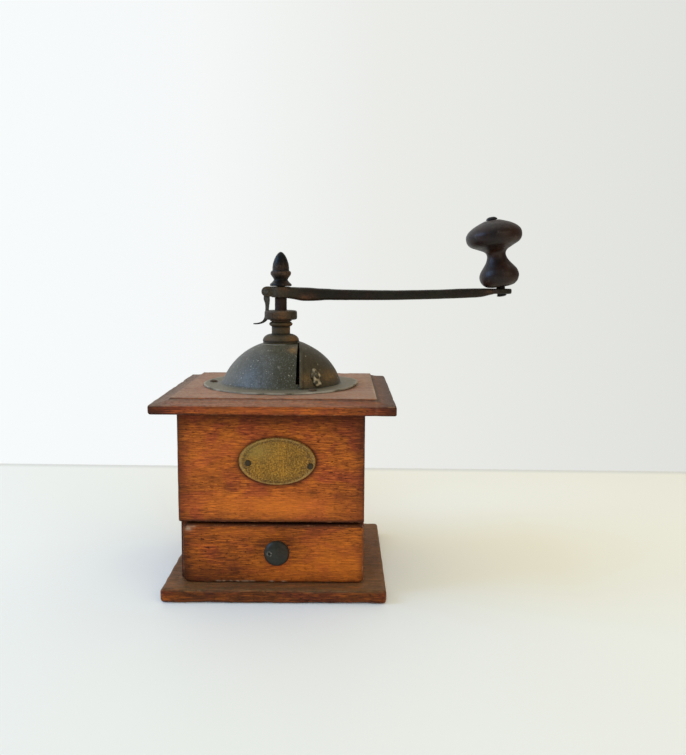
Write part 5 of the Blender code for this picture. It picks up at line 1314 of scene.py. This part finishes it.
def notched_tree():
    """A ring of notches cut in a blank: round-bottomed cutters set about its rim."""
    sizes = ("Rim Radius", "Notch Depth", "Notch Width", "Height")
    tree, given = new_tree("notches", "Blank", sizes, "Notches", "Notched")
    rim, deep, wide, tall = (given[label] for label in sizes)
    ring = node_step(tree, "GeometryNodeMeshCircle", {"Vertices": given["Notches"], "Radius": rim})
    half = compute(tree, "MULTIPLY", wide, 0.5)
    back = compute(tree, "SUBTRACT", half, deep)
    end = node_step(tree, "GeometryNodeMeshCylinder", {"Vertices": 24, "Radius": half, "Depth": tall})
    end = changed(tree, end, Translation=vector(tree, back))
    length = compute(tree, "MULTIPLY", deep, 2.0)
    slab = node_step(tree, "GeometryNodeMeshCube", {"Size": vector(tree, length, wide, tall)})
    slab = changed(tree, slab, Translation=vector(tree, compute(tree, "ADD", back, deep)))
    cutter = node_step(tree, "GeometryNodeMeshBoolean", {1: [end, slab]}, operation="UNION")
    where = {"Vector": node_step(tree, "GeometryNodeInputPosition").outputs[0]}
    aligned = node_step(tree, "FunctionNodeAlignRotationToVector", where, axis="X")
    cutters = planted(tree, ring.outputs["Mesh"], cutter.outputs[0], aligned.outputs[0])
    return finished(tree, cut_away(tree, given["Blank"], cutters), given)


nut_low, nut_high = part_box("grind_nut")
tall = (nut_high.z - nut_low.z) / 2
rim = [(bore_r, tall), (0.0098, tall), (0.0108, tall - 0.0002), (0.0114, tall - 0.0009),
       (rim_r, tall - 0.0018), (rim_r, -tall + 0.0014),
       (0.0112, -tall + 0.0004), (0.0104, -tall), (bore_r, -tall)]
blank = lathe(rim, 120, dents=0.00012, seed=5)
seedbed = as_mesh(blank, "nut_blank")
nut_iron = iron_finish("nut_iron", (0.052, 0.040, 0.026), (0.034, 0.024, 0.014), (0.105, 0.042, 0.012),
                       0.35, 0.4, 0.5, grain=1.5,
                       pits=1.5, dusty=0.3, dust_and_light=(0.16, 0.13, 0.095))
sizes_of_nut = {"Notches": 10, "Rim Radius": rim_r, "Notch Depth": 0.0032, "Notch Width": 0.0034,
                "Height": 0.012}
solid = grown("notched_nut", notched_tree(), seedbed, sizes_of_nut, nut_iron)
bmesh.ops.translate(solid, vec=(0, 0, nut_low.z + tall), verts=solid.verts)
paint_by(solid, "rust_and_warm_light", lambda co: 0.75 * bell(co.x - 0.0015, 0.0042) if co.y < 0 else 0.1)
# painted shade along the nut's foot on the washer, and in towards its bore below the top
paint_by(solid, "stain_and_shade", lambda co: 0.8 * bell(co.z - nut_low.z, 0.0007)
         + 0.55 * max(0.0, 1 - (co.xy.length - 0.0083) / 0.0016)
         * (abs(co.z - nut_high.z) > 0.0002))
show("notched_nut", solid, nut_iron, "grind_nut", "rusty_iron", "grind_nut", angle=35)


# The spindle: one iron bar, threaded where the nut runs, with a square for the crank and a stud for
# the acorn nut above it, and a journal at its foot.
low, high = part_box("spindle")
hub_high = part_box("acorn_nut")[0].z - 0.0003
hub_low = hub_high - 0.0077
journal_r, body_r, thread_r, square_half, stud_r, pitch = 0.0030, 0.0039, 0.00435, 0.0035, 0.0029, 0.0010
thread_low = hub_low - 0.0420
heights = [(0, low.z), (0.0025, low.z), (journal_r, low.z + 0.0007), (journal_r, 0.0964), (body_r, 0.0967)]
heights += [(body_r, 0.0967 + (thread_low - 0.0970) * k / 20) for k in range(1, 21)]
heights += [(thread_r, thread_low + 0.0417 * k / 208) for k in range(209)]
heights += [(square_half, hub_low), (square_half, hub_high), (stud_r, hub_high + 0.00001),
            (stud_r, high.z - 0.0007),
            (0.0022, high.z), (0, high.z)]


def spindle_skin(angle, radius, height):
    """The spindle's thread and its square."""
    if abs(radius - thread_r) < 1e-6:
        turn_share = ((height - thread_low) / pitch - angle / math.tau) % 1.0
        return radius - 0.00030 * (abs(turn_share - 0.5) * 2) ** 1.4
    if abs(radius - square_half) < 1e-6:
        return square_half / max(abs(math.cos(angle)), abs(math.sin(angle)))
    return radius


solid = lathe(heights, 64, False, dents=0.00003, fit=spindle_skin)
solid = cut_holes(solid, [bar(0.0015, (0, -0.01, mill_pin), (0, 0.01, mill_pin), 32)])
spindle_iron = iron_finish("spindle_iron", (0.034, 0.018, 0.012), (0.022, 0.013, 0.010),
                           (0.075, 0.026, 0.012), 0.5, 0.4, 0.55,
                           grain=2.0)
show("spindle_bar", solid, spindle_iron, "spindle", "rusty_iron", "spindle")


# The crank: one forging of hub, forked lug for the pawl, long arm and flattened eye, scaled nearly
# black. It sits on the spindle's square, and the knob's pin passes through the eye.
arm_shares = ((0.000, 0.05, 1.05, 1.10), (0.055, 0.05, 1.20, 1.20), (0.095, 0.08, 1.34, 1.22),
              (0.130, 0.10, 1.34, 1.18),
              (0.170, 0.16, 1.24, 1.10), (0.210, 0.19, 1.14, 1.04), (0.280, 0.26, 1.07, 1.00),
              (0.500, 0.30, 0.99, 1.00),
              (0.720, 0.20, 0.94, 0.98), (0.830, 0.08, 0.96, 0.96), (0.905, 0.05, 0.88, 1.00),
              (0.945, 0.05, 0.68, 1.12),
              (0.975, 0.06, 0.50, 1.30))
crank_reach, arm_height, arm_width, hub_r, eye_r, eye_thick = 0.1552, 0.0070, 0.0086, 0.0066, 0.0076, 0.0036
lug_r, lug_half, slot_half, pin_r, sides = 0.0035, 0.0037, 0.0017, 0.0014, 28
arm = bmesh.new()
rings = []
for reach, drop, thick, wide in flow(arm_shares, 6):
    top_z, half_h, half_w = hub_high - drop * arm_height, thick * arm_height / 2, wide * arm_width / 2
    ring = []
    for i in range(sides):
        angle = math.tau * (i + 0.5) / sides
        side, up = math.cos(angle), math.sin(angle)
        ring.append(arm.verts.new((reach * crank_reach, half_w * math.copysign(abs(side) ** 0.62, side),
                                   top_z - half_h + half_h * math.copysign(abs(up) ** 0.62, up))))
    rings.append(ring)
join_rings(arm, rings)
arm.faces.new(rings[0])
arm.faces.new(rings[-1])
bmesh.ops.recalc_face_normals(arm, faces=arm.faces)
hub = lathe(soften([(0, hub_low), (hub_r, hub_low), (hub_r, hub_high), (0, hub_high)], 0.0006), 72, False)
eye_top = hub_high - arm_height * 0.06
eye = lathe(soften([(0, eye_top - eye_thick), (eye_r, eye_top - eye_thick), (eye_r, eye_top), (0, eye_top)],
                   0.0008), 72, False,
            Matrix.Translation((crank_reach, 0, 0)))
pivot = Vector((-0.0100, 0, hub_high - 0.0036))
pin_hole = bar(pin_r, pivot - Vector((0, 0.01, 0)), pivot + Vector((0, 0.01, 0)), 32)
lug = bmesh.new()
outline = [(pivot.x + lug_r * math.cos(a), pivot.z + lug_r * math.sin(a))
           for a in (math.pi / 2 + math.pi * i / 16 for i in range(17))]
outline += [(-0.001, pivot.z - lug_r), (-0.001, pivot.z + lug_r)]
near = [lug.verts.new((x, -lug_half, z)) for x, z in outline]
far = [lug.verts.new((x, lug_half, z)) for x, z in outline]
lug.faces.new(near)
lug.faces.new(far)
join_rings(lug, [near, far])
bmesh.ops.recalc_face_normals(lug, faces=lug.faces)
tilt = math.radians(9.3)
knob_axis = Vector((-math.sin(tilt), 0, math.cos(tilt)))
knob_seat = Vector((crank_reach - 0.0014 * math.tan(tilt), 0, eye_top + 0.0014))
cutters = [block((-0.0180, -slot_half, hub_low - 0.003), (-0.0067, slot_half, hub_high + 0.003)),
           block((-square_half - 0.0003, -square_half - 0.0003, hub_low - 0.003),
                 (square_half + 0.0003, square_half + 0.0003, hub_high + 0.003)),
           bar(0.0033, knob_seat - knob_axis * 0.012, knob_seat + knob_axis * 0.006),
           pin_hole]
solid = forged([arm, hub, eye, lug], 0.00040, 5, cutters, 0.00007)
paint_by(solid, "rust_and_warm_light", lambda co: 0.85 * bell(co.x - 0.018, 0.006) * bell(co.z - hub_low - 0.0005, 0.0022)
         + 0.7 * bell(co.x - 0.002, 0.004) * bell(co.z - hub_high + 0.0022, 0.0022) * (co.y < 0)
         + 0.55 * bell(co.x - 0.148, 0.005) * bell(co.z - hub_high + 0.0025, 0.0020))
paint_by(solid, "dust_and_light", lambda co: max(0.0, 0.45 * (1 - (co.x - 0.004) / 0.016)) if co.x > -0.02 else 0.0)
black_iron = iron_finish("black_iron", (0.016, 0.0135, 0.0070), (0.011, 0.0066, 0.0048),
                         (0.080, 0.028, 0.010), 0.18, 0.35, 0.46,
                         grain=1.0, pits=1.3, dusty=0.10, dust_and_light=(0.062, 0.044, 0.024))
show("crank", solid, black_iron, "spindle", "black_iron", "crank_arm", angle=40)


# The acorn nut: a turned finial screwed down on the crank, an acorn in its cup on a flared foot,
# blue-black at the tip and rusty in the cup.
acorn_z, acorn_height = hub_high + 0.0003, 0.0239
zones = {"foot": 0.0077, "neck": 0.00475, "cup": 0.0072, "acorn": 0.0059}
acorn_shares = ((0.000, "foot", 0.95), (0.015, "foot", 1.00), (0.060, "foot", 0.98), (0.115, "foot", 0.78),
                (0.180, "neck", 1.00),
                (0.230, "neck", 1.12), (0.310, "cup", 0.94), (0.345, "cup", 1.00), (0.410, "cup", 1.00),
                (0.435, "cup", 0.92),
                (0.450, "acorn", 0.99), (0.540, "acorn", 1.00), (0.660, "acorn", 0.93),
                (0.780, "acorn", 0.78),
                (0.880, "acorn", 0.58), (0.955, "acorn", 0.34), (0.990, "acorn", 0.15))
skin = [(zones[zone] * share, acorn_z + acorn_height * height) for height, zone, share in acorn_shares]
profile = [(0, hub_high + 0.0108), (0.0032, hub_high + 0.0108), (0.0032, acorn_z), *soften(skin, 0.0005),
           (0, acorn_z + acorn_height)]
solid = lathe(profile, 96, False, dents=0.00009)
paint_by(solid, "rust_and_warm_light", lambda co: 0.70 * bell(co.z - acorn_z - 0.0090, 0.0020)
         + 0.45 * max(0.0, min(1.0, co.x / 0.004)) * (co.z < acorn_z + 0.011)
         + 0.30 * bell(co.z - acorn_z - 0.0135, 0.0022))
# painted shade in the creases at the cup, the neck and the foot
for level, reach in ((acorn_z + 0.0107, 0.0005), (acorn_z + 0.0046, 0.0009), (acorn_z, 0.0005)):
    paint_by(solid, "stain_and_shade", lambda co, level=level, reach=reach: 0.9 * bell(co.z - level, reach))
acorn_iron = iron_finish("acorn_iron", (0.009, 0.0095, 0.010), (0.009, 0.0065, 0.0050),
                         (0.060, 0.028, 0.012), 0.18, 0.55, 0.34, grain=1.6)
show("acorn", solid, acorn_iron, "spindle", "rusty_iron", "acorn_nut", angle=55)


# The knob: turned hardwood stained near black, with a red-brown cast on its right side that is painted warm light. It
# spins on an iron pin that is riveted in the eye and ends in a round button.
def dark_wood_finish(name):
    """Ebonised turned wood: nearly black, red-brown where a warm cast of painted light is painted on, with a soft dull
    polish.
    """
    finish, tree, shader = new_finish(name)
    grain_lines = mottle(tree, spread(tree, (240, 240, 40)), 1.0, 5.0, 0.6)
    cloud = mottle(tree, spread(tree, (60, 60, 60)), 1.0, 3.0, 0.5)
    fine = mottle(tree, spread(tree, (700, 700, 700)), 1.0, 3.0, 0.6)
    colour = lay(tree, grade(tree, cloud, 0.38, 0.62), (0.010, 0.0042, 0.0028), (0.022, 0.0070, 0.0036))
    colour = lay(tree, grade(tree, grain_lines, 0.45, 0.62, 0.0, 0.7), colour, (0.005, 0.0028, 0.0024))
    colour = lay(tree, painted(tree, "rust_and_warm_light"), colour, (0.020, 0.0050, 0.0018))
    colour = lay(tree, calc(tree, "MULTIPLY", painted(tree, "rub_and_highlight"), grade(tree, fine, 0.40, 0.60)), colour,
                 (0.10, 0.080, 0.062))
    tree.links.new(colour, shader.inputs["Base Color"])
    tree.links.new(grade(tree, fine, 0.3, 0.7, 0.34, 0.50), shader.inputs["Roughness"])
    shader.inputs["Specular IOR Level"].default_value = 0.30
    bumps = relief(tree, grain_lines, 0.00012, 0.6)
    tree.links.new(relief(tree, cloud, 0.0006, 0.3, bumps), shader.inputs["Normal"])
    return finish


knob_shares = ((0.000, 0.33), (0.020, 0.51), (0.075, 0.65), (0.155, 0.71), (0.240, 0.66), (0.325, 0.51),
               (0.400, 0.39), (0.480, 0.335),
               (0.540, 0.40), (0.590, 0.62), (0.640, 0.86), (0.695, 0.97), (0.750, 1.00), (0.815, 0.98),
               (0.880, 0.86),
               (0.935, 0.66), (0.980, 0.40), (1.000, 0.26))
knob_r, knob_height, knob_bore, knob_pin_r = 0.0195, 0.0465, 0.0033, 0.0030
knob_place = Matrix.Translation(knob_seat) @ Matrix.Rotation(-tilt, 4, "Y")
skin = flow([(knob_r * share, knob_height * height) for height, share in knob_shares], 4)
solid = lathe([(knob_bore, 0), *skin, (knob_bore, knob_height)], 128, True, knob_place, 0.00008)
# painted light: a red-brown cast growing towards the right side, away from the window
paint_by(solid, "rust_and_warm_light",
         lambda co: max(0.0, min(0.9, (co.x - knob_seat.x - knob_axis.x * (co.z - knob_seat.z)) / 0.014)))
paint_by(solid, "rub_and_highlight", lambda co: 0.5 * max(0.0, noise.noise(co * 300) - 0.35) * 2)
ebonised = dark_wood_finish("ebonised_wood")
show("knob", solid, ebonised, "knob", "knob_wood", "knob_grip", angle=60)
rivet_top = -(0.0014 + eye_thick + 0.0003) / math.cos(tilt) - eye_thick * math.tan(tilt)
button = knob_height + 0.0003
profile = [(0, button + 0.0022), (0.0016, button + 0.0021), (0.0030, button + 0.0016),
           (0.0040, button + 0.0006), (0.0040, button),
           (knob_pin_r, button), (knob_pin_r, rivet_top), (0.0036, rivet_top), (0.0034, rivet_top - 0.0005),
           (0.0022, rivet_top - 0.0010),
           (0, rivet_top - 0.0010)]
solid = lathe(soften(profile, 0.0003, 2), 64, False, knob_place, 0.00004)
pin_iron = iron_finish("pin_iron", (0.012, 0.011, 0.011), (0.010, 0.008, 0.007), (0.04, 0.015, 0.008), 0.15,
                       0.35, 0.45)
show("knob_pin_bar", solid, pin_iron, "spindle", "black_iron", "knob_pin")


# The pawl: a flat forged lever on a pin in the crank's fork, with a thumb tail; its inner edge rests
# in a notch of the nut and locks the nut to the crank.
pawl_shares = ((-0.090, -0.237), (-0.047, -0.362), (-0.039, -0.517), (-0.052, -0.646), (-0.069, -0.776),
               (-0.112, -0.871),
               (-0.194, -0.931), (-0.302, -0.961), (-0.401, -0.970), (-0.401, -0.996), (-0.284, -1.000),
               (-0.147, -0.974),
               (-0.039, -0.922), (0.026, -0.845), (0.056, -0.754), (0.060, -0.603), (0.066, -0.517),
               (0.080, -0.388),
               (0.095, -0.259))
head_r, pawl_reach, pawl_half = 0.0030, 0.0232, 0.0014
outline = [(head_r * math.cos(a), head_r * math.sin(a))
           for a in (math.radians(-48 + 276 * i / 18) for i in range(19))]
outline += [(x * pawl_reach, z * pawl_reach) for x, z in pawl_shares]
outline = flow(outline, 3, True)
solid = bmesh.new()
near = [solid.verts.new((pivot.x + x, -pawl_half, pivot.z + z)) for x, z in outline]
far = [solid.verts.new((pivot.x + x, pawl_half, pivot.z + z)) for x, z in outline]
rims = []
for ring in (near, far):
    face = solid.faces.new(ring)
    rims += list(face.edges)
join_rings(solid, [near, far])
bmesh.ops.recalc_face_normals(solid, faces=solid.faces)
bmesh.ops.bevel(solid, geom=rims, offset=0.00022, segments=2, affect="EDGES", profile=0.6)
solid = cut_holes(solid, [pin_hole])
paint_by(solid, "stain_and_shade", lambda co: max(0.0, min(0.8, (pivot.z - 0.0205 - co.z) / 0.002)))
pawl_steel = iron_finish("pawl_steel", (0.085, 0.078, 0.062), (0.045, 0.037, 0.027), (0.075, 0.040, 0.020),
                         0.35, 0.55, 0.45, grain=2.4, pits=1.4)
show("pawl_arm", solid, pawl_steel, "pawl", "rusty_iron", "pawl_lever", angle=35)
profile = soften([(0, 0.0049), (0.0013, 0.0049), (0.0019, 0.0045), (0.0019, 0.0041), (0.0011, 0.0041),
                  (0.0011, -0.0041), (0.0019, -0.0041),
                  (0.0019, -0.0045), (0.0013, -0.0049), (0, -0.0049)], 0.0001, 2)
across = Matrix.Translation(pivot) @ Matrix.Rotation(math.pi / 2, 4, "X")
show("pawl_axle", lathe(profile, 40, False, across, 0.00002), pawl_steel, "spindle", "steel", "pawl_pin")


# The drawer's knob: turned iron, dark and greenish with a dull shine, and a small dimple off its
# middle. A screw holds it from inside the drawer.
low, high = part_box("drawer_knob")
middle = (low + high) / 2
knob_turn = Matrix.Translation((middle.x, high.y, middle.z)) @ Matrix.Rotation(math.pi / 2, 4, "X")
shares = ((1.00, 0.0), (0.998, 0.20), (0.985, 0.42), (0.955, 0.64), (0.90, 0.83), (0.83, 0.95),
          (0.76, 1.00), (0.68, 0.995), (0.62, 0.96),
          (0.55, 0.84), (0.47, 0.64), (0.38, 0.52), (0.22, 0.50), (0.0, 0.54))
pull_r, pull_reach = 0.0083, 0.0125
skin = [(pull_r * share, pull_reach * reach) for reach, share in shares]
profile = [*flow(skin, 3), (0.0021, 0.0), (0.0021, 0.0083), (0, 0.0083)]
solid = lathe(profile, 96, False, knob_turn, 0.00006)
dimple = Vector((middle.x - 0.0046, low.y, middle.z + 0.0004))


def from_dimple(co):
    """How far a point of the knob's face is from the dimple; far off for all other points."""
    return (co - dimple).xz.length if co.y < low.y + 0.004 else 1.0


for vert in solid.verts:
    vert.co.y += 0.0005 * bell(from_dimple(vert.co), 0.0007)
paint_by(solid, "stain_and_shade", lambda co: bell(from_dimple(co), 0.0008))
paint_by(solid, "rub_and_highlight", lambda co: 0.5 * bell(from_dimple(co) - 0.0014, 0.0003) * max(0.0, 0.4 + noise.noise(co * 900)))
knob_iron = iron_finish("knob_iron", (0.036, 0.036, 0.028), (0.030, 0.026, 0.020), (0.05, 0.030, 0.016),
                        0.20, 0.55, 0.38, grain=1.3)
show("drawer_pull", solid, knob_iron, "drawer", "black_iron", "drawer_knob", angle=60)


# The plate: stamped brass with a raised rim, gone golden brown and greenish, pinned to the front by
# two iron pins and left bare.
def brass_finish(name):
    """Old brass: worn golden brown, darker and greener where it has not been handled."""
    finish, tree, shader = new_finish(name)
    cloud = mottle(tree, spread(tree, (1, 1, 1)), 90, 4.0, 0.6, 0.4)
    fine = mottle(tree, spread(tree, (1, 1, 1)), 950, 4.0, 0.65)
    scratch = mottle(tree, spread(tree, (260, 260, 1400)), 1.0, 2.0, 0.5)
    colour = lay(tree, grade(tree, cloud, 0.36, 0.64), (0.40, 0.185, 0.022), (0.25, 0.125, 0.020))
    colour = lay(tree, grade(tree, fine, 0.54, 0.40, 0.0, 0.75), colour, (0.080, 0.036, 0.010))
    colour = lay(tree, grade(tree, fine, 0.54, 0.66, 0.0, 0.60), colour, (0.62, 0.36, 0.060))
    colour = lay(tree, painted(tree, "green"), colour, (0.300, 0.205, 0.050))
    colour = lay(tree, grade(tree, scratch, 0.62, 0.72, 0.0, 0.25), colour, (0.40, 0.25, 0.085))
    colour = lay(tree, painted(tree, "rub_and_highlight"), colour, (0.44, 0.30, 0.13))
    colour = lay(tree, calc(tree, "MULTIPLY", painted(tree, "stain_and_shade"),
                            grade(tree, fine, 0.62, 0.40, 0.5, 1.0)), colour, (0.030, 0.015, 0.008))
    tree.links.new(colour, shader.inputs["Base Color"])
    tree.links.new(grade(tree, painted(tree, "stain_and_shade"), 0.0, 1.0, 0.45, 0.0), shader.inputs["Metallic"])
    tree.links.new(grade(tree, fine, 0.3, 0.7, 0.44, 0.60), shader.inputs["Roughness"])
    shader.inputs["Specular IOR Level"].default_value = 0.30
    bumps = relief(tree, fine, 0.00012, 0.7)
    tree.links.new(relief(tree, cloud, 0.0005, 0.5, bumps), shader.inputs["Normal"])
    return finish


low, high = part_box("name_plate")
middle = Vector(((low.x + high.x) / 2, high.y, (low.z + high.z) / 2))
flat_inset, plate_flat, rim_points = 0.0036, 0.0007, 160
half_w, half_h = (high.x - low.x) / 2, (high.z - low.z) / 2
plate_turn = Matrix.Translation(middle) @ Matrix.Rotation(math.pi / 2, 4, "X")
oval = [(half_w * math.cos(math.tau * i / rim_points), half_h * math.sin(math.tau * i / rim_points))
        for i in range(rim_points)]
solid = bmesh.new()
rings = []
plate_levels = [(0.0, 0.0), (0.0, 0.0005), (0.00015, 0.0009), (0.0004, 0.0012), (0.0007, 0.0013),
                (0.0010, 0.00125), (0.0013, 0.0010),
                (0.0016, 0.00072), (0.0019, 0.00066), (0.0024, 0.0007), (0.0030, 0.0007), (0.0033, 0.00078),
                (flat_inset, plate_flat)]
plate_levels += [(flat_inset + (half_h - flat_inset) * k / 12, plate_flat) for k in range(1, 12)]
back = solid.faces.new([solid.verts.new((x, y, 0)) for x, y in reversed(oval)])
rings.append(list(reversed(list(back.verts))))
for inset, height in plate_levels[1:]:
    ring = []
    for x, y in oval:
        scale_x, scale_y = 1 - inset / half_w, 1 - inset / half_h
        if inset > flat_inset:
            share = (inset - flat_inset) / (half_h - flat_inset)
            scale_x, scale_y = ((1 - flat_inset / half) * (1 - share) for half in (half_w, half_h))
        spot = Vector((x * scale_x, y * scale_y, height))
        if inset > 0.0018:
            spot.z += 0.00016 * noise.noise(spot * 90) + 0.00005 * noise.noise(spot * 400)
        ring.append(solid.verts.new(spot))
    rings.append(ring)
rings.append([solid.verts.new((0, 0, plate_flat))])
join_rings(solid, rings)
bmesh.ops.recalc_face_normals(solid, faces=solid.faces)
bmesh.ops.transform(solid, matrix=plate_turn, verts=solid.verts)


def plate_inset(co):
    """How far a point lies in from the plate's rim."""
    off = math.hypot((co.x - middle.x) / half_w, (co.z - middle.z) / half_h)
    return (1 - off) * half_h


paint_by(solid, "stain_and_shade", lambda co: 0.75 * bell(plate_inset(co) - 0.0021, 0.0006)
         + 0.30 * bell(plate_inset(co) - flat_inset, 0.0004))
paint_by(solid, "rub_and_highlight",
         lambda co: 0.55 * bell(plate_inset(co) - 0.0008, 0.0004) * (0.7 + 0.6 * noise.noise(co * 260)))
paint_by(solid, "green",
         lambda co: 0.6 * bell(co.x - middle.x + 0.014, 0.010) * bell(co.z - middle.z - 0.007, 0.006))
brass = brass_finish("old_brass")
show("brass_plate", solid, brass, "case", "old_brass", "name_plate", angle=50)
pin_brown = iron_finish("pin_brown", (0.060, 0.042, 0.020), (0.034, 0.022, 0.012), (0.08, 0.040, 0.014),
                        0.4, 0.3, 0.55, grain=4.0)
fasteners("plate_pins", ["plate_pin_1", "plate_pin_2"], (0, -1, 0), pin_brown, "case", "rusty_iron",
          (0.0021, 0.0007, 0.0008, 0.0055, 0.0), 15)
